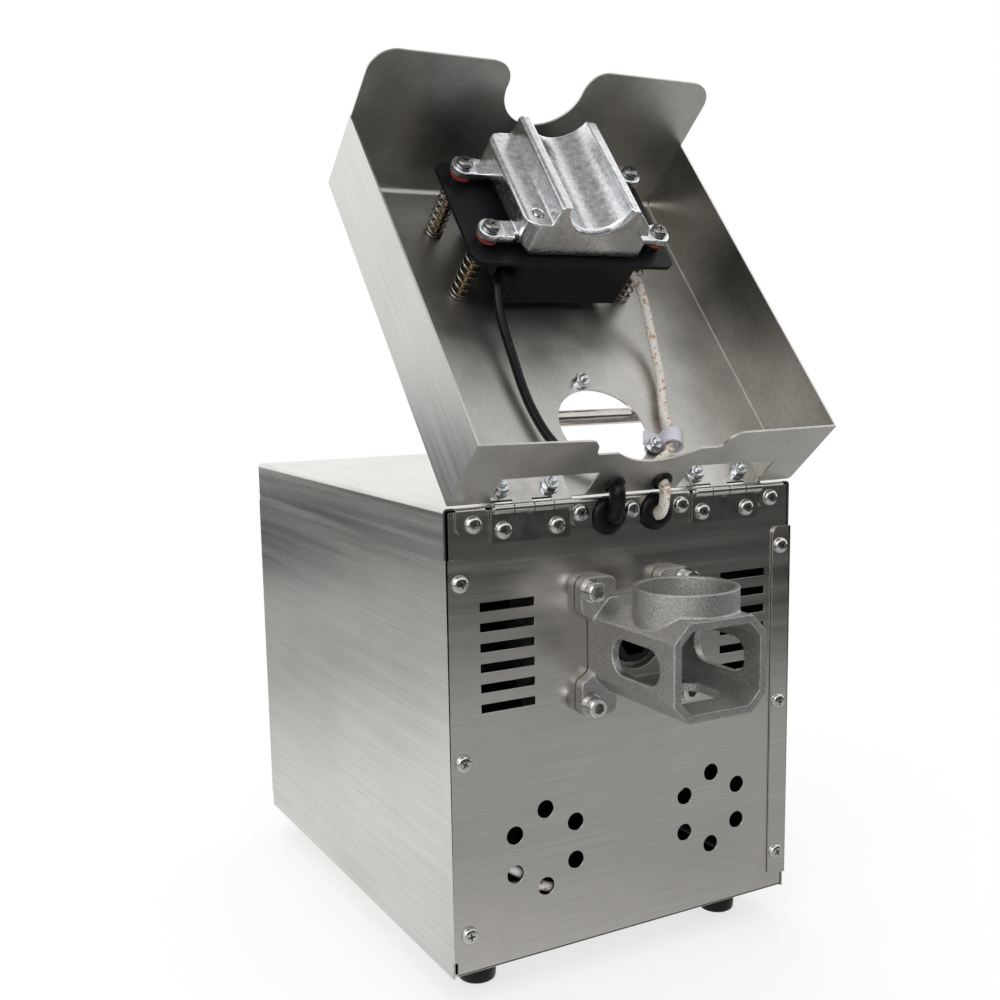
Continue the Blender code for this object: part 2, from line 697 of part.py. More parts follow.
def carrying_handle(finish, parent):
    """A bent round bar. The open hood's outer face leans on it."""
    clear = HANDLE_RADIUS + GAP
    turn = radians(OPEN_ANGLE)
    y = HINGE_Y - HANDLE_LEAN * cos(turn) + (HOOD_OFFSET + clear) * sin(turn)
    z = HINGE_Z + HANDLE_LEAN * sin(turn) + (HOOD_OFFSET + clear) * cos(turn)
    half, foot = HANDLE_SPAN / 2, CASE_HEIGHT + GAP
    bends = (arc((-half + HANDLE_BEND, z - HANDLE_BEND), HANDLE_BEND, 180, 90, 5)
             + arc((half - HANDLE_BEND, z - HANDLE_BEND), HANDLE_BEND, 90, 0, 5))
    route = [(-half, foot)] + bends + [(half, foot)]
    tube("carrying_handle", [(a, y, b) for a, b in route], HANDLE_RADIUS, 2, finish, parent)


def panel_grommets(finish, parent):
    for side, name in ((-1, "panel_grommet_left"), (1, "panel_grommet_right")):
        bore, neck = LEAD_RADIUS + GAP, GROMMET_HOLE_RADIUS - GAP
        back = TRAY_SHEET + GAP
        ring = [(bore, -GAP - GROMMET_FLANGE), (GROMMET_FRONT_RADIUS - 1.5, -GAP - GROMMET_FLANGE),
                (GROMMET_FRONT_RADIUS, -GAP - GROMMET_FLANGE / 2), (GROMMET_FRONT_RADIUS, -GAP),
                (neck, -GAP), (neck, back), (GROMMET_REAR_RADIUS, back),
                (GROMMET_REAR_RADIUS, back + GROMMET_FLANGE), (bore, back + GROMMET_FLANGE)]
        piece(name, turned(ring, (side * GROMMET_X, GROMMET_Z), "Y", 18, closed=True),
              finish, parent)


# Throat

def feed_throat(finish, parent):
    front, back = -THROAT_LENGTH, -GAP
    width, height = THROAT_HALF_WIDTH, THROAT_HALF_HEIGHT
    shell = prism(octagon(width, height, THROAT_CHAMFER, AXIS_Z), front, back, "Y")
    inner_width, inner_height = width - THROAT_WALL, height - THROAT_WALL
    inner_chamfer = THROAT_CHAMFER - THROAT_WALL * (2 - sqrt(2))
    cavity = prism(octagon(inner_width, inner_height, inner_chamfer, AXIS_Z),
                   front - THROUGH, back - THROAT_BACK_WALL, "Y")
    rim = AXIS_Z + height + COLLAR_RISE
    collar = rod(COLLAR_RADIUS, AXIS_Z + height / 2, rim, "Z", (0.0, -COLLAR_Y), 36)
    ears = []
    for x, z in lug_places():
        to_axis = atan2(AXIS_Z - z, -x)
        pad = (arc((0.0, 0.0), EAR_RADIUS, 90, 270, 9)
               + [(hypot(x, z - AXIS_Z) / 2, -EAR_RADIUS * 1.15),
                  (hypot(x, z - AXIS_Z) / 2, EAR_RADIUS * 1.15)])
        ears.append(prism(turned_towards(pad, to_axis, (x, z)), back - EAR_THICKNESS, back, "Y"))
    bores = [rod(THROAT_SCREW_RADIUS + GAP, back - EAR_THICKNESS - THROUGH, back + THROUGH, "Y",
                 place, 12) for place in lug_places()]
    bores.append(rod(BARREL_BORE_RADIUS, back - THROAT_BACK_WALL - THROUGH, back + THROUGH, "Y",
                     (0.0, AXIS_Z), 28))
    feed = rod(COLLAR_RADIUS - COLLAR_WALL, AXIS_Z, rim + THROUGH, "Z", (0.0, -COLLAR_Y), 36)
    window = rounded_rectangle((-WINDOW_FAR, AXIS_Z - WINDOW_HEIGHT / 2),
                               (-WINDOW_NEAR, AXIS_Z + WINDOW_HEIGHT / 2), WINDOW_HEIGHT / 2 - 0.1, 4)
    windows = prism(window, -width - THROUGH, width + THROUGH, "X")
    floor = rounded_rectangle((-FLOOR_WINDOW_WIDTH / 2, -FLOOR_WINDOW_FAR),
                              (FLOOR_WINDOW_WIDTH / 2, -FLOOR_WINDOW_NEAR), 8.0)
    floor_window = prism(floor, AXIS_Z - height - THROUGH, AXIS_Z - inner_height / 2, "Z")
    piece("feed_throat", shell, finish, parent, add=[collar, *ears],
          cut=[cavity, feed, windows, floor_window, together(*bores)])


def throat_screws(finish, parent):
    names = ("throat_screw_upper_left", "throat_screw_upper_right",
             "throat_screw_lower_left", "throat_screw_lower_right")
    seat = -GAP - EAR_THICKNESS - GAP
    head = seat - WASHER_THICKNESS
    for name, place in zip(names, lug_places()):
        top = head - SCREW_HEAD_HEIGHT
        profile = [(0.0, top + SCREW_SOCKET_DEPTH), (SCREW_SOCKET_RADIUS, top + SCREW_SOCKET_DEPTH),
                   (SCREW_SOCKET_RADIUS, top), (SCREW_HEAD_RADIUS - 0.5, top),
                   (SCREW_HEAD_RADIUS, top + 0.5), (SCREW_HEAD_RADIUS, head), (WASHER_RADIUS, head),
                   (WASHER_RADIUS, seat), (THROAT_SCREW_RADIUS, seat),
                   (THROAT_SCREW_RADIUS, top + THROAT_SCREW_LENGTH),
                   (0.0, top + THROAT_SCREW_LENGTH)]
        piece(name, turned(profile, place, "Y", 14), finish, parent)


# Gearbox and motor

def gearbox_outline(radius):
    """A slot shape round the output shaft and the lower shafts."""
    low = (GEARBOX_LOWER_X, GEARBOX_LOWER_Z)
    lean = atan2(AXIS_Z - low[1], -low[0]) * 180 / pi
    return (arc((0.0, AXIS_Z), radius, lean - 90, lean + 90, 16)
            + arc(low, radius, lean + 90, lean + 270, 16))


def gearbox(finish, parent):
    inner = GEARBOX_RADIUS - GEARBOX_WALL
    front, split, back = GEARBOX_FRONT, GEARBOX_SPLIT, GEARBOX_BACK
    shaft_hole = COUNTERSHAFT_RADIUS + GAP
    counter = (COUNTERSHAFT_X, COUNTERSHAFT_Z)
    floor = front + GEARBOX_WALL + 1.0
    lid = back - GEARBOX_WALL - 1.0
    boss = rod(GEARBOX_BOSS_RADIUS, 0.0, front + 1.0, "Y", (0.0, AXIS_Z), 28)
    hollow = prism(gearbox_outline(inner), floor, split + THROUGH, "Y")
    bearing_seat = rod(BEARING_OUTER_RADIUS + GAP, front + 0.5, floor + THROUGH, "Y",
                       (0.0, AXIS_Z), 24)
    shaft_bore = rod(OUTPUT_SHAFT_RADIUS + 2 * GAP, -THROUGH, front + THROUGH, "Y",
                     (0.0, AXIS_Z), 24)
    blind = rod(shaft_hole, front + 2.0, floor + THROUGH, "Y", counter, 14)
    screws = [rod(THROAT_SCREW_RADIUS + GAP, -THROUGH, floor + 3 * THROUGH, "Y", place, 12)
              for place in lug_places()]
    piece("gearbox_front_housing", prism(gearbox_outline(GEARBOX_RADIUS), front, split, "Y"),
          finish, parent, add=[boss],
          cut=[hollow, bearing_seat, together(shaft_bore, blind), together(*screws)])
    hollow = prism(gearbox_outline(inner), split - THROUGH, lid, "Y")
    seats = [rod(OUTPUT_JOURNAL_RADIUS + GAP, lid - THROUGH, back - 1.5, "Y", (0.0, AXIS_Z), 20),
             rod(shaft_hole, lid - THROUGH, back - 1.5, "Y", counter, 14),
             rod(MOTOR_SHAFT_RADIUS + 2.0, lid - THROUGH, back + THROUGH, "Y", (0.0, MOTOR_Z), 16)]
    piece("gearbox_rear_housing", prism(gearbox_outline(GEARBOX_RADIUS), split + GAP, back, "Y"),
          finish, parent, cut=[hollow, together(*seats)])
    ring = [(OUTPUT_SHAFT_RADIUS + GAP, front + 0.5 + GAP),
            (BEARING_OUTER_RADIUS, front + 0.5 + GAP),
            (BEARING_OUTER_RADIUS, front + 0.5 + GAP + BEARING_WIDTH),
            (OUTPUT_SHAFT_RADIUS + GAP, front + 0.5 + GAP + BEARING_WIDTH)]
    return ring


def rotating_frames(case):
    return {"drive": frame_at("drive_axis", case, (0.0, 0.0, AXIS_Z)),
            "counter": frame_at("countershaft_axis", case, (COUNTERSHAFT_X, 0.0, COUNTERSHAFT_Z)),
            "motor": frame_at("motor_axis", case, (0.0, 0.0, MOTOR_Z))}


def gear_train(steel, bronze, axes):
    """The drive shaft turns the press screw; a countershaft and the motor pinion drive it."""
    to_counter = atan2(COUNTERSHAFT_Z - AXIS_Z, COUNTERSHAFT_X)
    to_motor = atan2(MOTOR_Z - COUNTERSHAFT_Z, -COUNTERSHAFT_X)
    near, width = FIRST_GEAR_Y, FIRST_GEAR_WIDTH
    back = GEARBOX_BACK - 1.5 - GAP
    shaft = [(0.0, OUTPUT_SHAFT_FRONT), (OUTPUT_SHAFT_RADIUS, OUTPUT_SHAFT_FRONT),
             (OUTPUT_SHAFT_RADIUS, OUTPUT_SHOULDER_Y), (OUTPUT_JOURNAL_RADIUS, OUTPUT_SHOULDER_Y),
             (OUTPUT_JOURNAL_RADIUS, back), (0.0, back)]
    socket = prism(circle(SOCKET_FLATS / sqrt(3), count=6), OUTPUT_SHAFT_FRONT - THROUGH,
                   OUTPUT_SHAFT_FRONT + SOCKET_DEPTH, "Y")
    piece("drive_shaft", turned(shaft, (0.0, 0.0), "Y", 20), steel, axes["drive"], cut=[socket])
    outline = turned_towards(gear_outline(OUTPUT_TEETH, FIRST_MODULE), to_counter)
    piece("drive_gear", prism(outline, near, near + width, "Y",
                              circle(OUTPUT_SHAFT_RADIUS + GAP, count=20)), steel, axes["drive"])
    pinion = turned_towards(gear_outline(PINION_TEETH, FIRST_MODULE),
                            to_counter + pi + pi / PINION_TEETH)
    ends = [rod(COUNTERSHAFT_RADIUS, GEARBOX_FRONT + 2.0 + GAP, near + 1.0, "Y", count=14),
            rod(COUNTERSHAFT_RADIUS, near + width - 1.0, back, "Y", count=14)]
    piece("countershaft_pinion", prism(pinion, near, near + width, "Y"), steel, axes["counter"],
          add=ends)
    wheel = turned_towards(gear_outline(WHEEL_TEETH, SECOND_MODULE), to_motor)
    low, high = SECOND_GEAR_Y, SECOND_GEAR_Y + SECOND_GEAR_WIDTH
    piece("countershaft_gear", prism(wheel, low, high, "Y",
                                     circle(COUNTERSHAFT_RADIUS + GAP, count=14)),
          bronze, axes["counter"])
    small = turned_towards(gear_outline(MOTOR_TEETH, SECOND_MODULE),
                           to_motor + pi + pi / MOTOR_TEETH)
    rotor_low = MOTOR_FRONT + MOTOR_FRONT_WALL + 14.0
    tail = MOTOR_BACK + MOTOR_CAP_LENGTH + FAN_LENGTH
    arm = [rod(MOTOR_SHAFT_RADIUS, high - 1.0, rotor_low + 1.0, "Y", count=14),
           rod(ROTOR_RADIUS, rotor_low, rotor_low + ROTOR_LENGTH, "Y", count=24),
           rod(MOTOR_SHAFT_RADIUS, rotor_low + ROTOR_LENGTH - 1.0, tail, "Y", count=14)]
    piece("motor_rotor", prism(small, low, high, "Y"), steel, axes["motor"], add=arm)


def motor(steel, plastic, axes, parent):
    centre = (0.0, MOTOR_Z)
    front, back = MOTOR_FRONT, MOTOR_BACK
    inner = MOTOR_RADIUS - MOTOR_WALL
    bore = MOTOR_SHAFT_RADIUS + GAP
    can = [(bore, front), (MOTOR_RADIUS, front), (MOTOR_RADIUS, back), (inner, back),
           (inner, front + MOTOR_FRONT_WALL), (bore, front + MOTOR_FRONT_WALL)]
    piece("motor_can", turned(can, centre, "Y", 28, closed=True), steel, parent)
    cap_front, cap_back = back + GAP, back + MOTOR_CAP_LENGTH - 3.0
    cap = [(bore, cap_back - 3.0), (inner, cap_back - 3.0), (inner, cap_front),
           (MOTOR_RADIUS, cap_front), (MOTOR_RADIUS - 3.0, cap_back), (bore, cap_back)]
    piece("motor_end_cap", turned(cap, centre, "Y", 24, closed=True), steel, parent)
    fan_low = back + MOTOR_CAP_LENGTH
    hub = rod(10.0, fan_low, fan_low + FAN_LENGTH, "Y", count=14)
    blades = []
    for k in range(FAN_BLADES):
        angle = 2 * pi * k / FAN_BLADES
        outline = turned_towards([(8.0, -1.0), (FAN_RADIUS, -5.0), (FAN_RADIUS, -3.0), (8.0, 1.0)],
                                 angle)
        blades.append(prism(outline, fan_low + 1.0, fan_low + FAN_LENGTH - 1.0, "Y"))
    through = rod(MOTOR_SHAFT_RADIUS + GAP, fan_low - THROUGH, fan_low + FAN_LENGTH + THROUGH, "Y",
                  count=14)
    piece("motor_fan", hub, plastic, axes["motor"], add=[together(*blades)], cut=[through])


# Electrics

def switches(housing, rocker, parent):
    """Forward-off-reverse switch for the motor, resting level, and an off-on switch for the
    heater, resting on its off side."""
    panel = TRAY_DEPTH
    flange = panel + GAP
    length, width = SWITCH_LENGTH / 2, SWITCH_HEIGHT / 2
    wall = SWITCH_BORDER + 1.4
    for name, x, rest in (("motor_switch", SWITCH_X, 0.0), ("heater_switch", -SWITCH_X, ROCKER_TILT)):
        bezel = block((x - width, flange, SWITCH_Z - length),
                      (x + width, flange + SWITCH_FLANGE, SWITCH_Z + length))
        body = block((x - width + SWITCH_BORDER, panel - SWITCH_BODY_DEPTH,
                      SWITCH_Z - length + SWITCH_BORDER),
                     (x + width - SWITCH_BORDER, flange + 0.5, SWITCH_Z + length - SWITCH_BORDER))
        well = block((x - width + wall, panel - SWITCH_BODY_DEPTH / 2, SWITCH_Z - length + wall),
                     (x + width - wall, flange + SWITCH_FLANGE + THROUGH,
                      SWITCH_Z + length - wall))
        piece(name + "_housing", bezel, housing, parent, add=[body], cut=[well])
        pivot = frame_at(name + "_pivot", parent, (x, panel - ROCKER_PIVOT, SWITCH_Z), rest)
        rocker_key(name + "_rocker", rocker, pivot, width - wall - 0.5)


def rocker_key(name, finish, parent, half_width):
    """A key that tilts about X, with a shallow valley across its face."""
    edge, half = ROCKER_EDGE, ROCKER_HALF_LENGTH
    valley = edge - 0.4 * half * tan(radians(ROCKER_TILT))
    outline = [(edge, -half + ROCKER_EASE), (valley, 0.0), (edge, half - ROCKER_EASE),
               (0.0, half - 1.4), (-2.0, half / 2), (-2.0, -half / 2), (0.0, -half + 1.4)]
    piece(name, prism(outline, -half_width, half_width, "X"), finish, parent)


def power_inlet(finish, parent):
    """A recessed mains inlet with three blades, in the rear panel."""
    face = TRAY_DEPTH + GAP
    back = face + INLET_FLANGE
    low = (INLET_X - INLET_FLANGE_WIDTH / 2, INLET_Z - INLET_FLANGE_HEIGHT / 2)
    high = (INLET_X + INLET_FLANGE_WIDTH / 2, INLET_Z + INLET_FLANGE_HEIGHT / 2)
    flange = prism(rounded_rectangle(low, high, 5.0), face, back, "Y")
    half_w, half_h = INLET_WIDTH / 2 - GAP, INLET_HEIGHT / 2 - GAP
    body = block((INLET_X - half_w, face - INLET_BODY_DEPTH, INLET_Z - half_h),
                 (INLET_X + half_w, face + 1.0, INLET_Z + half_h))
    recess = block((INLET_X - half_w + 1.6, back - INLET_RECESS_DEPTH, INLET_Z - half_h + 1.6),
                   (INLET_X + half_w - 1.6, back + THROUGH, INLET_Z + half_h - 1.6))
    root = back - INLET_RECESS_DEPTH
    blades = [block((INLET_X + dx - 1.0, root - 1.0, INLET_Z + dz - 2.0),
                    (INLET_X + dx + 1.0, root + 11.0, INLET_Z + dz + 2.0))
              for dx, dz in ((-7.0, -2.0), (0.0, 3.0), (7.0, -2.0))]
    made = piece("power_inlet", flange, finish, parent, add=[body], cut=[recess])
    combine(made, together(*blades), "UNION")


# Hood

def hood_shell(finish, hood):
    """Tray-shaped hood: a bent panel with side walls, a notched near wall and an eared far wall."""
    half, top = HALF_WIDTH, HOOD_OFFSET
    path = [(-half, top - HOOD_WALL_DEPTH), (-half, top), (half, top), (half, top - HOOD_WALL_DEPTH)]
    outline = bent_sheet(path, HOOD_SHEET, BEND_RADIUS, -1)
    near_face, far_face = -HOOD_START - HOOD_SHEET, -HOOD_END + HOOD_SHEET
    feed = rod(FEED_HOLE_RADIUS, top - HOOD_SHEET - THROUGH, top + THROUGH, "Z",
               (0.0, -COLLAR_Y - HINGE_Y), 36)
    screws = [rod(CARRIAGE_SCREW_RADIUS + GAP, top - HOOD_SHEET - THROUGH, top + THROUGH, "Z",
                  (x, -y), 10) for x, y in lug_screw_places()]
    piece("hood_shell", prism(outline, far_face + GAP, near_face - GAP, "Y"), finish, hood,
          cut=[together(feed, *screws)])
    low, high = near_face - THROUGH, -HOOD_START + THROUGH
    cuts = []
    for side in (-1, 1):
        ends = sorted((side * NEAR_CUT_INNER, side * NEAR_CUT_OUTER))
        cuts.append(block((ends[0], low, top - NEAR_CUT_DEPTH), (ends[1], high, top - HOOD_SHEET)))
        cuts.append(rod(HOOD_GROMMET_HOLE_RADIUS, low, high, "Y",
                        (side * GROMMET_X, top - HOOD_GROMMET_DEPTH), 16))
    piece("hood_near_wall", prism(near_wall_outline(), near_face, -HOOD_START, "Y"), finish, hood,
          cut=[together(*cuts)])
    piece("hood_far_wall", prism(far_wall_outline(), -HOOD_END, far_face, "Y"), finish, hood)


def top_corner():
    """Rounded upper right corner of an end wall, running down its side."""
    middle = (HALF_WIDTH - BEND_RADIUS, HOOD_OFFSET - BEND_RADIUS)
    return arc(middle, BEND_RADIUS, 90, 0, 3)


def near_wall_outline():
    top = HOOD_OFFSET
    rim = top - HOOD_WALL_DEPTH
    step = top - NEAR_RIM_STEP_DEPTH
    rise = NEAR_RIM_STEP_DEPTH - NEAR_ARC_DEPTH
    radius = (NEAR_ARC_HALF ** 2 + rise ** 2) / (2 * rise)
    centre = (0.0, top - NEAR_ARC_DEPTH - radius)
    spread = acos((radius - rise) / radius) * 180 / pi
    round_centre = NEAR_RIM_HALF + NEAR_RIM_ROUND
    right = top_corner() + [(HALF_WIDTH, rim)]
    right += arc((round_centre, rim + NEAR_RIM_ROUND), NEAR_RIM_ROUND, 270, 180, 4)
    right += [(NEAR_RIM_HALF, step - 3.0), (NEAR_RIM_STEP_HALF, step)]
    middle = arc(centre, radius, 90 - spread, 90 + spread, 10)
    left = [(-x, z) for x, z in reversed(right)]
    return right + middle + left


def far_wall_outline():
    top = HOOD_OFFSET
    low = top - EAR_WALL_DEPTH
    notch = (0.0, top - NOTCH_DEPTH)
    right = top_corner()
    right += arc((HALF_WIDTH - EAR_CORNER, low + EAR_CORNER), EAR_CORNER, 0, -90, 6)
    lip = EAR_INNER_HALF - NOTCH_RADIUS
    right += arc((EAR_INNER_HALF, low + lip), lip, 270, 180, 5)
    middle = arc(notch, NOTCH_RADIUS, 0, 180, 16)
    left = [(-x, z) for x, z in reversed(right)]
    return right + middle + left


def leaf_knuckles(x, count, skip):
    """X ranges of the knuckles that one leaf carries."""
    span = LEAF_WIDTH / count
    return [(x + k * span, x + (k + 1) * span) for k in range(count) if k % 2 == skip]


def hinges(finish, pin_finish, case, hood):
    bore = HINGE_PIN_RADIUS + GAP
    for side, word in ((-1, "left"), (1, "right")):
        x = LEAF_INNER if side > 0 else -LEAF_INNER - LEAF_WIDTH
        lower_plate = block((x, -GAP - LEAF_THICKNESS, HINGE_Z - LEAF_LENGTH),
                            (x + LEAF_WIDTH, -GAP, HINGE_Z - 1.0))
        upper_plate = block((x, -LEAF_LENGTH, HOOD_OFFSET - HOOD_SHEET - GAP - LEAF_THICKNESS),
                            (x + LEAF_WIDTH, -1.0, HOOD_OFFSET - HOOD_SHEET - GAP))
        for plate, parent, skip, axis, word_part in (
                (lower_plate, case, 0, (HINGE_Y, HINGE_Z), "hinge_lower_leaf_"),
                (upper_plate, hood, 1, (0.0, 0.0), "hinge_upper_leaf_")):
            own = leaf_knuckles(x, KNUCKLE_COUNT, skip)
            other = leaf_knuckles(x, KNUCKLE_COUNT, 1 - skip)
            barrels = [rod(KNUCKLE_RADIUS, low + GAP / 2, high - GAP / 2, "X", axis, 14)
                       for low, high in own]
            room = KNUCKLE_RADIUS + GAP
            clear = [block((low - GAP / 2, axis[0] - room, axis[1] - room),
                           (high + GAP / 2, axis[0] + room, axis[1] + room))
                     for low, high in other]
            hole = rod(bore, x - THROUGH, x + LEAF_WIDTH + THROUGH, "X", axis, 12)
            made = piece(word_part + word, plate, finish, parent, cut=[together(*clear)])
            combine(made, together(*barrels), "UNION")
            combine(made, hole, "DIFFERENCE")
        pin = rod(HINGE_PIN_RADIUS, x - 0.6, x + LEAF_WIDTH + 0.6, "X", (HINGE_Y, HINGE_Z), 12)
        piece("hinge_pin_" + word, pin, pin_finish, case)


def hood_grommets(finish, hood):
    outer, inner = -HOOD_START + GAP, -HOOD_START - HOOD_SHEET - GAP
    neck = HOOD_GROMMET_HOLE_RADIUS - GAP
    bore = LEAD_RADIUS + GAP
    for side, name in ((-1, "hood_grommet_left"), (1, "hood_grommet_right")):
        ring = [(bore, outer + HOOD_GROMMET_FLANGE),
                (HOOD_GROMMET_RADIUS, outer + HOOD_GROMMET_FLANGE), (HOOD_GROMMET_RADIUS, outer),
                (neck, outer), (neck, inner), (HOOD_GROMMET_RADIUS, inner),
                (HOOD_GROMMET_RADIUS, inner - HOOD_GROMMET_FLANGE),
                (bore, inner - HOOD_GROMMET_FLANGE)]
        place = (side * GROMMET_X, HOOD_OFFSET - HOOD_GROMMET_DEPTH)
        piece(name, turned(ring, place, "Y", 16, closed=True), finish, hood)


def cable_clip(finish, hood):
    """Nylon P-clip on the hood panel round the braided lead."""
    floor = HOOD_OFFSET - HOOD_SHEET - GAP
    ring_radius = LEAD_RADIUS + GAP + CLIP_WALL
    centre = (0.0, floor - ring_radius)
    half = CLIP_WIDTH / 2
    ring = rod(ring_radius, -half, half, "Y", centre, 18)
    tab = block((-CLIP_REACH, -half, floor - CLIP_WALL), (0.0, half, floor))
    clear = rod(LEAD_RADIUS + GAP, -half - THROUGH, half + THROUGH, "Y", centre, 18)
    seat = frame_at("clip_frame", hood, (CLIP_X, -CLIP_OUT, 0.0))
    seat.rotation_euler.z = radians(CLIP_TURN)
    piece("cable_clip", ring, finish, seat, add=[tab], cut=[clear])


# Heater carriage

def lug_screw_places():
    """Places of the four carriage screws: across, and out from the hinge axis."""
    return [(x, out) for out in (LUG_NEAR, LUG_NEAR + LUG_PITCH) for x in (LUG_LEFT, LUG_RIGHT)]


def block_outline(trough):
    """Outline of the heater block for a trough given by its centre, its depth and its radius."""
    across, depth, radius = trough
    start = 90 - acos((depth - FIN_DEPTH) / radius) * 180 / pi
    curve = arc((across, -depth), radius, start, 180 - start, 12)
    left = [(-BLOCK_BASE_HALF + BLOCK_FOOT, -BLOCK_BASE_DEPTH),
            (-BLOCK_WAIST_HALF, -BLOCK_WAIST_DEPTH),
            (-BLOCK_WAIST_HALF, -SHOULDER_DEPTH + 1.5),
            (-BLOCK_WAIST_HALF + 1.5, -SHOULDER_DEPTH),
            (-SHOULDER_INNER, -SHOULDER_DEPTH), (-SHOULDER_INNER + 1.0, -SHOULDER_DEPTH - 1.2),
            (-FIN_OUTER, -FIN_DEPTH + 1.1), (-FIN_OUTER + 1.1, -FIN_DEPTH)]
    right = [(FIN_OUTER, -FIN_DEPTH), (FIN_OUTER + 0.8, -FIN_DEPTH + 4.0),
             (FIN_OUTER + FIN_SLOPE, -SHOULDER_DEPTH + 1.4), (BLOCK_BASE_HALF, -FIN_FOOT_DEPTH),
             (BLOCK_BASE_HALF, -BLOCK_BASE_DEPTH)]
    return [(x, HOOD_OFFSET + z) for x, z in left + curve[::-1] + right]


def heater_block(finish, hood):
    """Cast block with a half-round trough between two fins and a shoulder on its left."""
    top = HOOD_OFFSET
    far = -BLOCK_NEAR - BLOCK_LENGTH
    body = prism(block_outline(TROUGH_FAR), far, -BLOCK_NEAR, "Y", last=block_outline(TROUGH_NEAR))
    lug_low, lug_high = top - LUG_DEPTH - LUG_THICKNESS, top - LUG_DEPTH
    lugs, holes = [], []
    for x, out in lug_screw_places():
        way = 180 if x > 0 else 0
        arm = arc((x, -out), LUG_RADIUS, way + 90, way + 270, 8)
        inner_x = (BLOCK_BASE_HALF - 4.0) * (1 if x > 0 else -1)
        arm = arm + [(inner_x, arm[-1][1]), (inner_x, arm[0][1])]
        lugs.append(prism(arm, lug_low, lug_high, "Z"))
        holes.append(rod(CARRIAGE_SCREW_RADIUS + GAP, lug_low - THROUGH, lug_high + THROUGH, "Z",
                         (x, -out), 10))
    floor = top - SHOULDER_DEPTH
    holes.append(rod(SENSOR_HOLE_RADIUS, floor - THROUGH, floor + SENSOR_DEPTH, "Z",
                     (SENSOR_X, -BLOCK_NEAR - SENSOR_FROM_NEAR), 12))
    piece("heater_block", body, finish, hood, add=[together(*lugs)], cut=[together(*holes)])


def heater_bracket(finish, element, hood):
    """Plate under the block, an open-topped insulation box beneath it and the heating element
    that lies in the plate's opening."""
    top = HOOD_OFFSET
    face = top - BRACKET_DEPTH
    back = face + BRACKET_SHEET
    far, near = -BRACKET_NEAR - BRACKET_LENGTH, -BRACKET_NEAR
    box_far, box_near = -BOX_NEAR - BOX_LENGTH, -BOX_NEAR
    floor = top - BOX_BOTTOM_DEPTH
    opening = block((BOX_LEFT + BOX_WALL, box_far + BOX_WALL, face - THROUGH),
                    (BOX_RIGHT - BOX_WALL, box_near - BOX_WALL, back + THROUGH))
    holes = [rod(CARRIAGE_SCREW_RADIUS + GAP, face - THROUGH, back + THROUGH, "Z", (x, -out), 10)
             for x, out in lug_screw_places()]
    plate = rounded_rectangle((BRACKET_LEFT, far), (BRACKET_RIGHT, near), BRACKET_CORNER)
    piece("heater_bracket", prism(plate, face, back, "Z"), finish, hood,
          cut=[opening, together(*holes)])
    hollow = block((BOX_LEFT + BOX_WALL, box_far + BOX_WALL, back - THROUGH),
                   (BOX_RIGHT - BOX_WALL, box_near - BOX_WALL, floor - BOX_WALL))
    lead_holes = rod(LEAD_RADIUS + GAP, BOX_LEFT - THROUGH, BOX_RIGHT + THROUGH, "X",
                     (-LEAD_OUT, top - LEAD_DEPTH), 14)
    piece("insulation_box", block((BOX_LEFT, box_far, back + GAP), (BOX_RIGHT, box_near, floor)),
          finish, hood, cut=[hollow, lead_holes])
    slack = BOX_WALL + GAP
    under_block = top - BLOCK_BASE_DEPTH + GAP
    heater = block((BOX_LEFT + slack, box_far + slack, under_block),
                   (BOX_RIGHT - slack, box_near - slack, under_block + PLATE_HEATER_THICKNESS))
    piece("heating_element", heater, element, hood)


def carriage_hardware(finishes, hood):
    top = HOOD_OFFSET
    names = ("near_left", "near_right", "far_left", "far_right")
    plate_face = top - BRACKET_DEPTH
    for name, (x, out) in zip(names, lug_screw_places()):
        seat = top - LUG_DEPTH - LUG_THICKNESS - GAP
        head = seat - CARRIAGE_HEAD_HEIGHT
        end = top + NUT_SPACE
        profile = [(0.0, head), (CARRIAGE_HEAD_RADIUS * 0.6, head),
                   (CARRIAGE_HEAD_RADIUS, seat - 0.8), (CARRIAGE_HEAD_RADIUS, seat),
                   (CARRIAGE_SCREW_RADIUS, seat), (CARRIAGE_SCREW_RADIUS, end), (0.0, end)]
        piece("carriage_screw_" + name, turned(profile, (x, -out), "Z", 12),
              finishes["screw"], hood)
        bore = CARRIAGE_SCREW_RADIUS + GAP
        low, high = top - LUG_DEPTH + GAP, plate_face - GAP
        ring = [(bore, low), (RED_WASHER_RADIUS, low), (RED_WASHER_RADIUS, high), (bore, high)]
        piece("fibre_washer_" + name, turned(ring, (x, -out), "Z", 14, closed=True),
              finishes["fibre"], hood)
        start = top - HOOD_SHEET - GAP - SPRING_WIRE_RADIUS
        finish = plate_face + BRACKET_SHEET + GAP + SPRING_WIRE_RADIUS
        tube("carriage_spring_" + name, coil(x, -out, start, finish), SPRING_WIRE_RADIUS, 0,
             finishes["spring"], hood)


def coil(x, y, start, end):
    """A compression spring with its end turns closed up."""
    count = SPRING_TURNS * SPRING_SEGMENTS
    points = []
    for k in range(count + 1):
        turn = k / SPRING_SEGMENTS
        closed = 1.15 * 2 * SPRING_WIRE_RADIUS
        body = abs(end - start) - 2 * closed
        if turn < 1:
            rise = closed * turn
        elif turn > SPRING_TURNS - 1:
            rise = closed + body + closed * (turn - SPRING_TURNS + 1)
        else:
            rise = closed + body * (turn - 1) / (SPRING_TURNS - 2)
        way = 1 if end > start else -1
        points.append((x + SPRING_RADIUS * cos(2 * pi * turn),
                       y + SPRING_RADIUS * sin(2 * pi * turn), start + way * rise))
    return points


# Leads: across, out from the hinge axis and below the outer face, in the hood frame


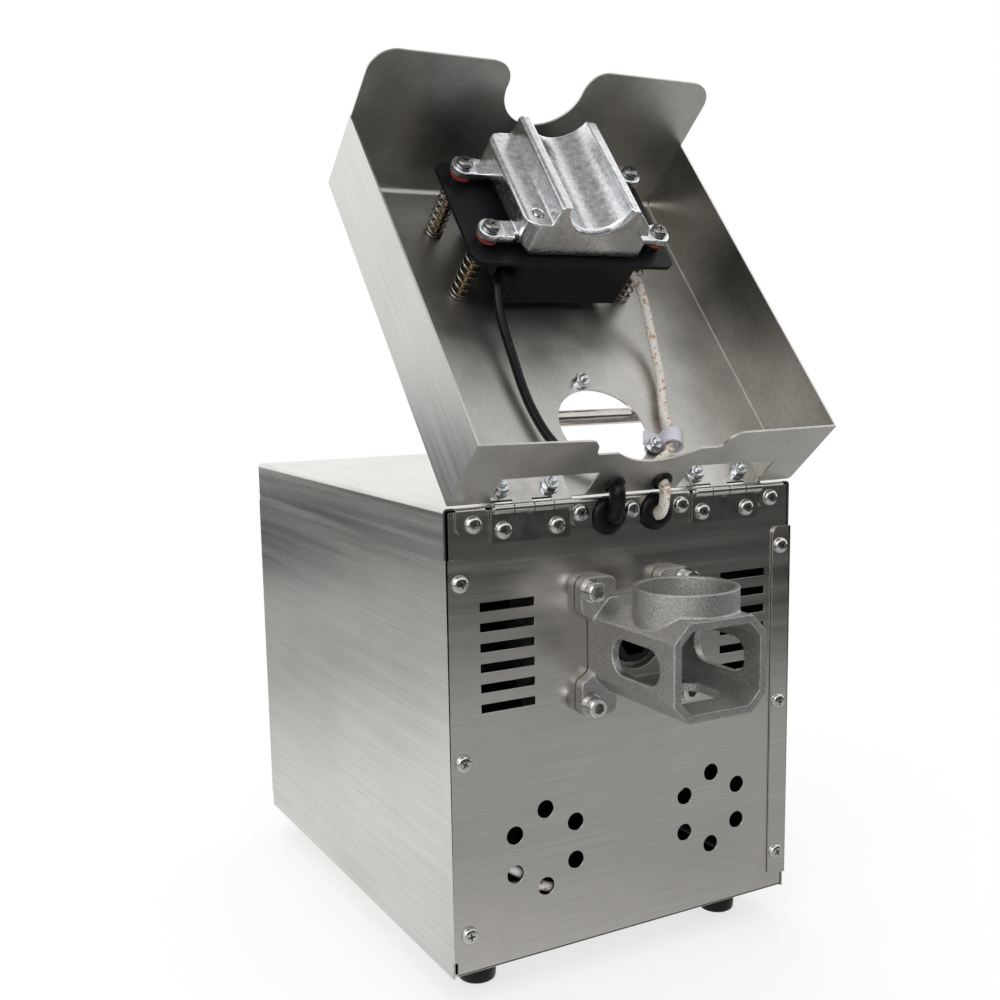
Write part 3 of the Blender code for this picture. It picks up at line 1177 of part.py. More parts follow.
def lead_route(points, side):
    """The points in the case frame, then out of the hood grommet and into the panel grommet."""
    x = side * GROMMET_X
    outs = (GROMMET_IN, HOOD_START + 4.2, HOOD_START - 2.2, HOOD_START - 4.5)
    route = [in_case(point) for point in points]
    route += [in_case((x, out, HOOD_GROMMET_DEPTH)) for out in outs]
    loop = [(-3.5, 3.3), (-3.25, 1.9), (-2.7, 0.8), (-2.0, 0.12), (-1.17, 0.0), (2.08, 0.0),
            (3.33, 0.0), (5.83, -1.67)]
    route += [(x, y * LEAD_RADIUS, GROMMET_Z + z * LEAD_RADIUS) for y, z in loop]
    return smooth_route(route, LEAD_SPACING)


def leads(black, braid, case):
    """Each lead leaves the box square to its side, then runs down the panel to its grommet. The
    stretch between is given in lead radii from the box, and in shares of its run and depth."""
    left, right = BOX_LEFT - GAP, BOX_RIGHT + GAP
    out, depth, unit = LEAD_OUT, LEAD_DEPTH, LEAD_RADIUS
    black_points = [(left + 2.5 * unit, out, depth), (left + 0.83 * unit, out, depth),
                    (left - 0.83 * unit, out, depth),
                    (left - 2.3 * unit, out - 0.33 * unit, 0.986 * depth),
                    (left - 3.54 * unit, out - 2.9 * unit, 0.886 * depth)]
    black_points += [(left + across * unit, out * share, depth * sunk) for across, share, sunk in (
        (-3.71, 0.843, 0.614), (-3.08, 0.661, 0.409), (-2.46, 0.417, 0.273), (0.25, 0.22, 0.295))]
    black_points.append((-GROMMET_X - 2.08 * unit, GROMMET_IN + 1.88 * unit,
                         HOOD_GROMMET_DEPTH + 0.2 * unit))
    reach = CLIP_WIDTH / 2 + LEAD_RADIUS / 2
    clip = [(CLIP_X + way * sin(radians(CLIP_TURN)), CLIP_OUT + way * cos(radians(CLIP_TURN)),
             CLIP_DEPTH) for way in (1.5 * reach, 0.9 * reach, -0.9 * reach, -1.5 * reach)]
    before_clip = CLIP_OUT + 2.8 * reach
    braid_points = [(right - 2.5 * unit, out, depth), (right - 0.83 * unit, out, depth),
                    (right + 0.83 * unit, out, depth),
                    (right + 2.3 * unit, out - 0.33 * unit, 1.014 * depth),
                    (right + 3.54 * unit, out - 2.5 * unit, 0.909 * depth)]
    braid_points += [(right + across * unit, before_clip + share * (out - before_clip),
                      depth * sunk) for across, share, sunk in (
        (4.17, 0.763, 0.705), (4.13, 0.525, 0.386), (2.71, 0.275, 0.273))]
    braid_points += [(CLIP_X + 2.3 * unit, before_clip, CLIP_DEPTH), *clip,
                     (GROMMET_X + 1.88 * unit, GROMMET_IN + 1.67 * unit,
                      HOOD_GROMMET_DEPTH - 0.17 * unit)]
    tube("heater_lead", lead_route(black_points, -1), LEAD_RADIUS, 2, black, case)
    tube("sensor_lead", lead_route(braid_points, 1), LEAD_RADIUS, 2, braid, case)


def build():
    clear_scene()
    stainless = material("brushed_stainless", (0.62, 0.60, 0.57), 0.32, 1.0)
    hood_steel = material("satin_stainless", (0.50, 0.48, 0.45), 0.38, 1.0)
    casting = material("blasted_cast_aluminium", (0.48, 0.48, 0.47), 0.55, 0.9)
    bright_casting = material("tumbled_cast_aluminium", (0.72, 0.73, 0.75), 0.32, 1.0)
    plated = material("plated_steel", (0.66, 0.66, 0.66), 0.22, 1.0)
    black_coat = material("black_powder_coat", (0.03, 0.03, 0.035), 0.5, 0.0)
    rubber = material("black_rubber", (0.015, 0.015, 0.015), 0.6, 0.0)
    vinyl = material("black_vinyl", (0.012, 0.012, 0.012), 0.3, 0.0)
    plastic = material("black_plastic", (0.02, 0.02, 0.02), 0.35, 0.0)
    fibre = material("red_fibre", (0.55, 0.06, 0.03), 0.6, 0.0)
    spring = material("spring_steel", (0.45, 0.38, 0.30), 0.3, 1.0)
    nylon = material("milky_nylon", (0.75, 0.76, 0.80), 0.4, 0.0)
    braid = material("glass_braid", (0.80, 0.76, 0.70), 0.8, 0.0)
    gear_steel = material("gear_steel", (0.40, 0.40, 0.41), 0.35, 1.0)
    bronze = material("gear_bronze", (0.55, 0.38, 0.18), 0.35, 1.0)
    red_key = material("red_key", (0.45, 0.02, 0.02), 0.3, 0.0)
    mica = material("mica_heater", (0.55, 0.48, 0.38), 0.7, 0.0)

    case = frame_at("case_frame", None, (0.0, -MIDDLE_Y, FOOT_HEIGHT))
    hood = frame_at("hood_frame", case, (0.0, HINGE_Y, HINGE_Z), -OPEN_ANGLE)
    chassis_tray(stainless, case)
    outer_cover(stainless, case)
    feet(rubber, case)
    carrying_handle(plated, case)
    panel_grommets(rubber, case)
    feed_throat(casting, case)
    throat_screws(plated, case)
    bearing_ring = gearbox(bright_casting, case)
    axes = rotating_frames(case)
    piece("drive_bearing", turned(bearing_ring, (0.0, AXIS_Z), "Y", 20, closed=True), plated, case)
    gear_train(gear_steel, bronze, axes)
    motor(gear_steel, plastic, axes, case)
    switches(plastic, red_key, case)
    power_inlet(plastic, case)
    hood_shell(hood_steel, hood)
    hinges(plated, plated, case, hood)
    hood_grommets(rubber, hood)
    cable_clip(nylon, hood)
    heater_block(bright_casting, hood)
    heater_bracket(black_coat, mica, hood)
    carriage_hardware({"screw": plated, "fibre": fibre, "spring": spring}, hood)
    leads(vinyl, braid, case)


build()
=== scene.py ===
"""Screw oil press, dressed for the studio.

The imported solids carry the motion, and finer pieces with procedural finishes are drawn over them.
Shapes are written in millimetres in one of two frames. The case frame has X across, Y back from
the front panel and Z up from the underside. The hood frame lies on the hinge axis and describes
the hood shut, so -Y runs out to its far end and -Z down into it.
"""

import json
from math import acos, atan2, cos, hypot, pi, radians, sin, sqrt

import bmesh
import bpy
from mathutils import Matrix, Vector


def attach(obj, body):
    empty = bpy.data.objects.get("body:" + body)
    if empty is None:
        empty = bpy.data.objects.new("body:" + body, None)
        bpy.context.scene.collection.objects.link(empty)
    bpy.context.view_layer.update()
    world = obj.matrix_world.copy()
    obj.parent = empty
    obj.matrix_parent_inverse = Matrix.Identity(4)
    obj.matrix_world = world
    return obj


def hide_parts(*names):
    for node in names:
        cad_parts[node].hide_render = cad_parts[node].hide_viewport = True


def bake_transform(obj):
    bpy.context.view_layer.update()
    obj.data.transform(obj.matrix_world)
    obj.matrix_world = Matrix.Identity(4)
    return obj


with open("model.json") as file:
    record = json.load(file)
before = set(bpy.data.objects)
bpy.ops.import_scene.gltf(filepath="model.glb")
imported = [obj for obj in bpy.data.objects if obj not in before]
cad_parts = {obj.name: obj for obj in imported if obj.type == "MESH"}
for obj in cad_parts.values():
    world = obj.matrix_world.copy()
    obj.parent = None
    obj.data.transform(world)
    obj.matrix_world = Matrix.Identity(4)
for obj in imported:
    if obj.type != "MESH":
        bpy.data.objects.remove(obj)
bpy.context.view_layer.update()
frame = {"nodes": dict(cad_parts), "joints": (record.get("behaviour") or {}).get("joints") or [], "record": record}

MM = 0.001
CASE_WIDTH, CASE_DEPTH, CASE_HEIGHT = 200, 270, 224
HALF = CASE_WIDTH / 2
HINGE_Y, HINGE_Z = -2.8, 222.4
OPEN_ANGLE = 130.5
HOOD_TOP, HOOD_FAR = 0.6, -206.3
AXIS_Z = 152.4
TRAY_DEPTH = 268.7
BEND = 2.2
EARS_X, EARS_RISE = (-28.2, 26.8), 28.1
GROMMET_X, GROMMET_Z, GROMMET_DROP = 13.8, 214.4, 7.8
CLIP_LEAN = 24

hinge = next(joint for joint in frame["joints"] if joint["name"] == "hood_hinge")
origin = Vector(hinge["pos_m"]) - Vector((0, HINGE_Y, HINGE_Z)) * MM
CASE = Matrix.Translation(origin)
HOOD = CASE @ Matrix.Translation(Vector((0, HINGE_Y, HINGE_Z)) * MM) @ Matrix.Rotation(
    radians(-OPEN_ANGLE), 4, "X")


# Outlines

def arc(centre, radius, start, end, steps):
    turn = [radians(start + (end - start) * k / steps) for k in range(steps + 1)]
    return [(centre[0] + radius * cos(a), centre[1] + radius * sin(a)) for a in turn]


def circle(radius, centre=(0, 0), count=48):
    return arc(centre, radius, 0, 360 - 360 / count, count - 1)


def rectangle(low, high):
    return [(low[0], low[1]), (high[0], low[1]), (high[0], high[1]), (low[0], high[1])]


def rounded(low, high, radii, steps=5):
    """A rectangle whose corners, from the upper right anticlockwise, have their own radii."""
    radii = radii if isinstance(radii, tuple) else (radii,) * 4
    corners = ((high[0], high[1], -1, -1), (low[0], high[1], 1, -1),
               (low[0], low[1], 1, 1), (high[0], low[1], -1, 1))
    points = []
    for k, ((x, y, dx, dy), radius) in enumerate(zip(corners, radii)):
        centre = (x + dx * radius, y + dy * radius)
        points += arc(centre, radius, 90 * k, 90 * k + 90, steps) if radius else [(x, y)]
    return points


def bent_sheet(path, side, thickness=1, outer_radius=BEND, steps=8):
    """Outline of a bent strip lying to one side of a path."""
    def across(way):
        return Vector((-way.y, way.x)) * side * thickness

    corners = [Vector(point) for point in path]
    first = [tuple(corners[0])]
    second = [tuple(corners[0] + across((corners[1] - corners[0]).normalized()))]
    for before, corner, after in zip(corners, corners[1:], corners[2:]):
        enter, leave = (corner - before).normalized(), (after - corner).normalized()
        way = 1 if enter.x * leave.y - enter.y * leave.x > 0 else -1
        near, far = (outer_radius, outer_radius - thickness)[::way * side]
        turn = acos(max(-1, min(1, enter.dot(leave))))
        normal = Vector((-enter.y, enter.x)) * way
        centre = corner - enter * near * (sin(turn / 2) / cos(turn / 2)) + normal * near
        start = atan2(-normal.y, -normal.x)
        for step in range(steps + 1):
            angle = start + way * turn * step / steps
            ray = Vector((cos(angle), sin(angle)))
            first.append(tuple(centre + ray * near))
            second.append(tuple(centre + ray * far))
    first.append(tuple(corners[-1]))
    second.append(tuple(corners[-1] + across(leave)))
    return first + second[::-1]


# Shapes

def spot(axis, a, b, height):
    """The point with this height along an axis and these two coordinates across it."""
    return {"X": (height, a, b), "Y": (a, height, b), "Z": (a, b, height)}[axis]


def loft(sections, axis):
    """Outlines with equally many points, each at its height along an axis, joined in turn."""
    made = bmesh.new()
    rings = [[made.verts.new(spot(axis, a, b, height)) for a, b in outline]
             for height, outline in sections]
    made.faces.new(rings[0])
    made.faces.new(rings[-1])
    for lower, upper in zip(rings, rings[1:]):
        for k in range(len(lower)):
            n = (k + 1) % len(lower)
            made.faces.new((lower[k], lower[n], upper[n], upper[k]))
    bmesh.ops.recalc_face_normals(made, faces=made.faces)
    return made


def prism(outline, low, high, axis):
    return loft([(low, outline), (high, outline)], axis)


def block(low, high):
    return prism(rectangle(low[:2], high[:2]), low[2], high[2], "Z")


def rod(radius, low, high, axis, centre=(0, 0), count=48):
    return prism(circle(radius, centre, count), low, high, axis)


def turned(profile, centre=(0, 0), axis="Z", count=48, closed=False):
    """A profile of (radius, height) turned about an axis; a closed profile makes a ring."""
    made = bmesh.new()
    rings = []
    for radius, height in profile:
        turns = [2 * pi * k / count for k in range(count if radius > 0 else 1)]
        rings.append([made.verts.new(spot(axis, centre[0] + radius * cos(a),
                                          centre[1] + radius * sin(a), height)) for a in turns])
    for one, two in zip(rings, rings[1:] + rings[:1] if closed else rings[1:]):
        for k in range(count):
            n = (k + 1) % count
            corners = [one[k % len(one)], one[n % len(one)], two[n % len(two)], two[k % len(two)]]
            corners = dict.fromkeys(corners)
            if len(corners) > 2:
                made.faces.new(corners)
    bmesh.ops.recalc_face_normals(made, faces=made.faces)
    return made


def together(shapes):
    mesh = bpy.data.meshes.new("gathered")
    made = bmesh.new()
    for shape in shapes:
        shape.to_mesh(mesh)
        shape.free()
        made.from_mesh(mesh)
    bpy.data.meshes.remove(mesh)
    return made


def link(made):
    bpy.context.collection.objects.link(made)
    return made


def new_object(name, shape):
    bmesh.ops.scale(shape, vec=(MM, MM, MM), verts=shape.verts)
    mesh = bpy.data.meshes.new(name)
    shape.to_mesh(mesh)
    shape.free()
    return link(bpy.data.objects.new(name, mesh))


def as_shape(made):
    """Takes an object back as a shape in millimetres, to be carved further."""
    shape = bmesh.new()
    shape.from_mesh(made.data)
    bmesh.ops.scale(shape, vec=(1 / MM,) * 3, verts=shape.verts)
    bpy.data.objects.remove(made)
    return shape


def settle(made):
    """Works out an object's modifiers and keeps the result as its mesh."""
    bpy.context.view_layer.update()
    result = bpy.data.meshes.new_from_object(
        made.evaluated_get(bpy.context.evaluated_depsgraph_get()))
    made.modifiers.clear()
    made.data = result


def carved(name, base, add=(), cut=(), within=()):
    """A shape that others are added to, cut from or kept within, in that order."""
    made = new_object(name, base)
    tools = []
    for shapes, operation in ((add, "UNION"), (cut, "DIFFERENCE"), (within, "INTERSECT")):
        for shape in shapes:
            tools.append(new_object("tool", shape))
            change = made.modifiers.new(operation, "BOOLEAN")
            change.operation = operation
            change.solver = "EXACT"
            change.object = tools[-1]
    settle(made)
    for tool in tools:
        bpy.data.objects.remove(tool)
    return made


def ease(made, width, segments=2, angle=35):
    """Rounds the sharp edges by a width in millimetres."""
    change = made.modifiers.new("edges", "BEVEL")
    change.width = width * MM
    change.segments = segments
    change.limit_method = "ANGLE"
    change.angle_limit = radians(angle)
    settle(made)


def cast(made, voxel, passes):
    """Rebuilds a shape evenly and softens it, as a casting is softened."""
    change = made.modifiers.new("even", "REMESH")
    change.mode = "VOXEL"
    change.voxel_size = voxel * MM
    soft = made.modifiers.new("soft", "SMOOTH")
    soft.factor = 0.5
    soft.iterations = passes
    settle(made)


def paint_faces(made, look, test):
    """Gives the faces whose middle and normal, in millimetres, pass a test their own finish."""
    made.data.materials.append(look)
    for face in made.data.polygons:
        if test(face.center / MM, face.normal):
            face.material_index = len(made.data.materials) - 1


def seat(made, place, body, replaces):
    """Puts a finished object in place on its body."""
    made.matrix_world = place
    if body is not None:
        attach(made, body)
    if replaces:
        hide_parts(*replaces)


def dress(made, place, body, look, replaces=(), angle=35):
    """Gives a shape its finish and its smooth and sharp edges, and seats it."""
    made.data.materials.clear()
    made.data.materials.append(look)
    made.data.shade_smooth()
    made.data.set_sharp_from_angle(angle=radians(angle))
    if angle < 40:
        made.modifiers.new("even shading", "WEIGHTED_NORMAL").keep_sharp = True
    seat(made, place, body, replaces)


def at(place, *point):
    return place @ (Vector(point) * MM)


def along(place, point, direction, spin=0):
    """A matrix at a point of a frame whose Z runs along a direction; spin is about that Z."""
    turn = Vector(direction).to_track_quat("Z", "Y").to_matrix().to_4x4()
    return (place @ Matrix.Translation(Vector(point) * MM) @ turn
            @ Matrix.Rotation(radians(spin), 4, "Z"))


# Finishes. Each finish is listed with a material slot of the record, which is its own name with
# underscores unless another is given. The solids shown as they are find their finish by it.

slots = {}


def fill(found, inputs):
    """Sets a node's inputs: a socket is wired in, anything else is a value."""
    for key, value in inputs.items():
        if isinstance(value, bpy.types.NodeSocket):
            found.id_data.links.new(value, found.inputs[key])
        else:
            found.inputs[key].default_value = value
    return found


def node(made, kind, inputs=None, **settings):
    found = made.node_tree.nodes.new(kind)
    for key, value in settings.items():
        setattr(found, key, value)
    return fill(found, inputs or {})


def shader(made, inputs):
    fill(made.node_tree.nodes["Principled BSDF"], inputs)


def finish(name, base, rough, metallic, slot=None):
    made = bpy.data.materials.new(name)
    made.use_nodes = True
    made.diffuse_color = (*base, 1)
    shader(made, {"Base Color": (*base, 1), "Roughness": rough, "Metallic": metallic})
    slots[name] = slot or name.replace(" ", "_")
    return made


def own_place(made):
    return node(made, "ShaderNodeTexCoord").outputs["Object"]


def distance_from(made, centre):
    return node(made, "ShaderNodeVectorMath", {0: own_place(made), 1: centre},
                operation="DISTANCE").outputs["Value"]


def noise(made, scale, detail=2, roughness=0.5):
    """Noise in the object's own coordinates, stretched by a scale for each axis."""
    stretch = node(made, "ShaderNodeMapping", {"Vector": own_place(made), "Scale": scale})
    return node(made, "ShaderNodeTexNoise",
                {"Vector": stretch.outputs["Vector"], "Scale": 1, "Detail": detail,
                 "Roughness": roughness}).outputs["Fac"]


def spread(made, value, low, high, start=0.3, stop=0.7):
    """A value from start to stop carried over to low to high."""
    return node(made, "ShaderNodeMapRange",
                {"Value": value, "From Min": start, "From Max": stop, "To Min": low,
                 "To Max": high}).outputs["Result"]


def swing(made, value, share, *ends):
    """A factor that moves by a share to either side of one."""
    return spread(made, value, 1 - share, 1 + share, *ends)


def times(made, one, two):
    return node(made, "ShaderNodeMath", {0: one, 1: two}, operation="MULTIPLY").outputs["Value"]


def shade_by(made, factor, base):
    """Base colour times a factor."""
    scaled = node(made, "ShaderNodeVectorMath", {0: base, "Scale": factor}, operation="SCALE")
    shader(made, {"Base Color": scaled.outputs["Vector"]})


def bump(made, height, strength, depth):
    raised = node(made, "ShaderNodeBump",
                  {"Height": height, "Strength": strength, "Distance": depth * MM})
    shader(made, {"Normal": raised.outputs["Normal"]})


def surface(made, base, tone, rough, relief):
    """Tone is a factor, rough a value with its two ends, relief a height, strength and depth."""
    shade_by(made, tone, base)
    shader(made, {"Roughness": spread(made, *rough)})
    if relief[2]:
        bump(made, *relief)
    return made


def brushed(name, base, rough, grain, streak, blotch, ridge):
    """Sheet with a straight grain along one axis."""
    made = finish(name, base, rough, 1, "brushed_stainless")
    fine = noise(made, [14 if axis == grain else 1400 for axis in "XYZ"], 3)
    broad = noise(made, [3 if axis == grain else 160 for axis in "XYZ"], 3)
    cloud = noise(made, (11,) * 3, 4, 0.6)
    tone = times(made, swing(made, fine, streak), swing(made, broad, streak / 2))
    tone = times(made, tone, swing(made, cloud, blotch))
    return surface(made, base, tone, (broad, rough - 0.05, rough + 0.07), (fine, ridge, 0.05))


def casting(name, slot, base, rough, grain, depth, speckle, blotch, metallic=1, patch=120):
    """Cast metal: a fine grain and softer patches."""
    made = finish(name, base, rough, metallic, slot)
    fine = noise(made, (grain,) * 3, 2, 0.7)
    cloud = noise(made, (patch,) * 3, 4, 0.6)
    tone = times(made, swing(made, fine, speckle, 0.35, 0.65), swing(made, cloud, blotch))
    return surface(made, base, tone, (cloud, rough - 0.06, rough + 0.08), (fine, 0.6, depth))


def plain(name, base, rough, metallic=1, grain=600, depth=0.02, tone=0.10, patch=90,
          slot=None):
    """Moulded, plated or coated surfaces with a slight grain."""
    made = finish(name, base, rough, metallic, slot)
    fine = noise(made, (grain,) * 3)
    cloud = noise(made, (patch,) * 3, 3)
    factor = times(made, swing(made, fine, tone / 2), swing(made, cloud, tone))
    return surface(made, base, factor, (cloud, rough - 0.04, rough + 0.06), (fine, 0.3, depth))


def plated(name, base, rough, grain=600, depth=0.02, tone=0.10):
    return plain(name, base, rough, 1, grain, depth, tone, slot="plated_steel")


panel_steel = brushed("panel steel", (0.60, 0.58, 0.54), 0.22, "X", 0.06, 0.06, 0.22)
cover_steel = brushed("cover steel", (0.71, 0.69, 0.66), 0.25, "Y", 0.07, 0.07, 0.25)
hood_steel = brushed("hood steel", (0.68, 0.67, 0.65), 0.27, "Y", 0.08, 0.07, 0.3)
satin_steel = plain("satin steel", (0.59, 0.575, 0.54), 0.36, 1, 500, 0, 0.12, 34,
                    "satin_stainless")
# Real smudges on the hood's right wall, with a base darker than the satin steel painted on as shade.
smudged_and_shaded_steel = plain("smudged and shaded satin steel", (0.42, 0.405, 0.375), 0.34, 1, 500, 0, 0.18,
                      26, "satin_stainless")
throat_metal = casting("blasted casting", "blasted_cast_aluminium", (0.45, 0.44, 0.425), 0.40,
                       1900, 0.40, 0.46, 0.05)
block_metal = casting("tumbled casting", "tumbled_cast_aluminium", (0.87, 0.88, 0.90), 0.22,
                      560, 0.14, 0.09, 0.13, 1, 320)
housing_metal = casting("gearbox casting", "tumbled_cast_aluminium", (0.50, 0.50, 0.50), 0.42,
                        900, 0.08, 0.06, 0.10, 0.85)
leaf_steel = plated("hinge steel", (0.54, 0.53, 0.50), 0.15, 1200, 0.05, 0.16)
screw_metal = plated("plated screws", (0.66, 0.65, 0.63), 0.13, 600, 0.01, 0.05)
# Dark colour painted into the screw recesses as shade.
painted_recess_shade = plated("painted shade in screw recesses", (0.22, 0.21, 0.20), 0.30, 600, 0.02, 0.05)
dark_nickel = plated("dark nickel", (0.26, 0.255, 0.25), 0.18)
dark_steel = plated("blackened steel", (0.045, 0.045, 0.047), 0.30)
# Near black painted on the inner faces of the case as shade.
unlit_inside_shade = plated("unlit inside", (0.05, 0.049, 0.047), 0.55, 300, 0.02, 0.05)
nut_metal = plated("zinc nuts", (0.60, 0.62, 0.64), 0.16, 600, 0.01)
bar_metal = plated("polished bar", (0.62, 0.60, 0.57), 0.12, 400, 0.01, 0.05)
zinc_thread = plated("yellow zinc thread", (0.20, 0.125, 0.06), 0.35, 500, 0.02, 0.20)
spring_metal = plain("spring wire", (0.42, 0.39, 0.34), 0.18, 1, 500, 0.02, 0.15,
                     slot="spring_steel")
gear_metal = plain("gear steel", (0.40, 0.40, 0.41), 0.32, 1, 500, 0.02, 0.08)
gear_bronze = plain("gear bronze", (0.50, 0.33, 0.14), 0.34, 1, 500, 0.02, 0.08)
black_coat = plain("black powder coat", (0.005, 0.0055, 0.007), 0.42, 0, 1100, 0.06)
black_rubber = plain("black rubber", (0.006,) * 3, 0.26, 0, 700, 0.02, 0.15)
black_vinyl = plain("black vinyl", (0.005,) * 3, 0.26, 0, 300, 0.01)
grey_wire = plain("grey wire", (0.55, 0.57, 0.58), 0.4, 0, 500, 0.01, slot="black_vinyl")
black_plastic = plain("black plastic", (0.018,) * 3, 0.34, 0, 900)
red_plastic = plain("red key", (0.42, 0.015, 0.012), 0.28, 0, 500, 0.01, 0.06)
red_fibre = plain("red fibre", (0.36, 0.035, 0.018), 0.55, 0, 900, 0.05, 0.15)

for look in (black_coat, black_rubber, black_vinyl):
    shader(look, {"Specular IOR Level": 0.22})


# Case

def pattern(side):
    """Slots, the ring of round holes and the grommet's hole on one side of the front panel."""
    low, high = sorted((side * 83.6, side * 54.9))
    top_slot, pitch, half_slot = 177.3, 9.62, 2.1
    ring, ring_x, ring_z, hole = 19.6, side * 50, 54.5, 4.5
    shapes = [rod(6.5, -2, 3, "Y", (side * GROMMET_X, GROMMET_Z), 40)]
    for k in range(6):
        z = top_slot - k * pitch
        shapes.append(block((low, -2, z - half_slot), (high, 3, z + half_slot)))
        angle = pi / 2 + 2 * pi * k / 6
        centre = (ring_x + ring * cos(angle), ring_z + ring * sin(angle))
        shapes.append(rod(hole, -2, 3, "Y", centre, 40))
    return shapes


def case_tray():
    path = [(0, 222), (0, 0), (TRAY_DEPTH, 0), (TRAY_DEPTH, 222)]
    sheet = prism(bent_sheet(path, 1, 1.2), -98.6, 97.9, "X")
    cuts = pattern(-1) + pattern(1)
    cuts.append(rod(20.3, -2, 3, "Y", (0, AXIS_Z), 64))
    low, high = TRAY_DEPTH - 3, TRAY_DEPTH + 2
    cuts.append(block((-69.8, low, 41.7), (-42.2, high, 62.3)))
    for k in range(7):
        z = 128 - 10 * k
        cuts.append(block((-35, low, z - 2.25), (35, high, z + 2.25)))
    for x in (-28, 28):
        cuts.append(block((x - 8.7, low, 176 - 12.7), (x + 8.7, high, 176 + 12.7)))
    made = carved("case_tray", sheet, cut=[together(cuts)])
    ease(made, 0.08, 1)
    dress(made, CASE, "chassis", panel_steel, ["chassis_tray"])
    # The tray's inner faces take the painted shade.
    paint_faces(made, unlit_inside_shade, lambda middle, _: abs(middle.x) < 97 and middle.z > 0.9
                and 0.1 < middle.y < TRAY_DEPTH - 0.1)


def tab(ends, depth, face, radius):
    """A tab folded down from the cover's top, with its two lower corners rounded."""
    way, reach = (1 if face < 0 else -1), 3.3
    outer = face if way > 0 else face + 1
    path = [(outer, CASE_HEIGHT - depth), (outer, CASE_HEIGHT), (outer + way * reach, CASE_HEIGHT)]
    sheet = prism(bent_sheet(path, -way), ends[0], ends[1], "X")
    low, high = CASE_HEIGHT - depth, CASE_HEIGHT - 3
    tools = []
    for x, side in ((ends[0], 1), (ends[1], -1)):
        corner = [(x - side, low - 1), (x + side * radius, low - 1), (x + side * radius, low)]
        corner += arc((x + side * radius, low + radius), radius, 270, 270 - side * 90, 6)
        corner.append((x - side, low + radius))
        tools.append(prism(corner, face - 1, face + 2, "Y"))
    return sheet, tools


def case_cover():
    left, top = -HALF - 1, CASE_HEIGHT
    path = [(left, 0), (left, top), (HALF, top), (HALF, 0)]
    shell = prism(bent_sheet(path, -1), -1.3, CASE_DEPTH, "Y")
    gaps = []
    for start, end in ((-3, 0.4), (TRAY_DEPTH, CASE_DEPTH + 1)):
        gaps += [block((left - 1, start, 200.5), (HALF + 1, end, top + 1)),
                 block((left - 1, start, -1), (HALF + 1, end, 8.5))]
    add, corners = [], []
    for face in (-1.3, CASE_DEPTH - 1):
        for side in (-1, 1):
            ends = sorted((99.9 if side > 0 else left + 0.1, side * 88.4))
            radii = (3.5, 0, 0, 3.5) if side < 0 else (0, 3.5, 3.5, 0)
            strip = rounded((ends[0], 8.5), (ends[1], 200.5), radii)
            add.append(prism(strip, face, face + 1, "Y"))
            ends = (-95.3, -80.4) if side < 0 else (78.1, 94.8)
            sheet, tools = tab(ends, 12.3, face, 3.4)
            add.append(sheet)
            corners += tools
        sheet, tools = tab((-34, 34), 13, face, 2.6)
        add.append(sheet)
        corners += tools
    body = as_shape(carved("case_cover_blank", shell, cut=gaps))
    notches = [rod(9.8, -4, 0.4, "Y", (side * GROMMET_X, GROMMET_Z), 48) for side in (-1, 1)]
    made = carved("case_cover", body, add, [together(corners), together(notches)])
    ease(made, 0.08, 1)
    dress(made, CASE, "chassis", cover_steel, ["outer_cover"])
    # The cover's inner faces take the painted shade.
    paint_faces(made, unlit_inside_shade, lambda middle, _: left + 0.9 < middle.x < HALF - 0.9
                and 1 < middle.y < TRAY_DEPTH and middle.z < top - 0.9)
    paint_faces(made, panel_steel, lambda _, normal: abs(normal.y) > 0.6)


def rubber_feet():
    profile = [(0, -15.5), (4, -15.5), (5.5, -17), (8.4, -17), (9.2, -16.4),
               (9.4, -15.6), (10.5, -1.4), (9.9, -0.3), (0, -0.3)]
    for row, y in (("front", 27), ("rear", 243)):
        for word, x in (("left", -75.3), ("right", 75.3)):
            name = f"foot_{row}_{word}"
            made = new_object("rubber_" + name, turned(profile, (x, y)))
            dress(made, CASE, "chassis", black_rubber, [name], 50)


def tube_mesh(points, radius, sides, flat=None):
    """A tube along points, with a UV map whose U runs round it and V along it in millimetres.
    flat gives, for each point, how far the section is stretched one way and the other."""
    made = bmesh.new()
    layer = made.loops.layers.uv.new("tube")
    line = [Vector(p) for p in points]
    tangents = [(ahead - behind).normalized()
                for behind, ahead in zip(line[:1] + line, line[1:] + line[-1:])]
    side = Vector((1, 0, 0))
    if abs(tangents[0].dot(side)) > 0.9:
        side = Vector((0, 1, 0))
    normal = (side - tangents[0] * side.dot(tangents[0])).normalized()
    rings, reach = [], [0]
    for k, (point, tangent) in enumerate(zip(line, tangents)):
        normal = (normal - tangent * normal.dot(tangent)).normalized()
        other = tangent.cross(normal)
        wide, thin = flat[k] if flat else (1, 1)
        rings.append([made.verts.new(point + normal * radius * wide * cos(2 * pi * j / sides)
                                     + other * radius * thin * sin(2 * pi * j / sides))
                      for j in range(sides)])
        if k:
            reach.append(reach[-1] + (point - line[k - 1]).length)
    for k in range(len(rings) - 1):
        for j in range(sides):
            n = (j + 1) % sides
            face = made.faces.new((rings[k][j], rings[k][n], rings[k + 1][n], rings[k + 1][j]))
            marks = ((j, k), (j + 1, k), (j + 1, k + 1), (j, k + 1))
            for loop, (u, v) in zip(face.loops, marks):
                loop[layer].uv = (u / sides, reach[v])
    made.faces.new(rings[0][::-1])
    made.faces.new(rings[-1])
    bmesh.ops.recalc_face_normals(made, faces=made.faces)
    return made


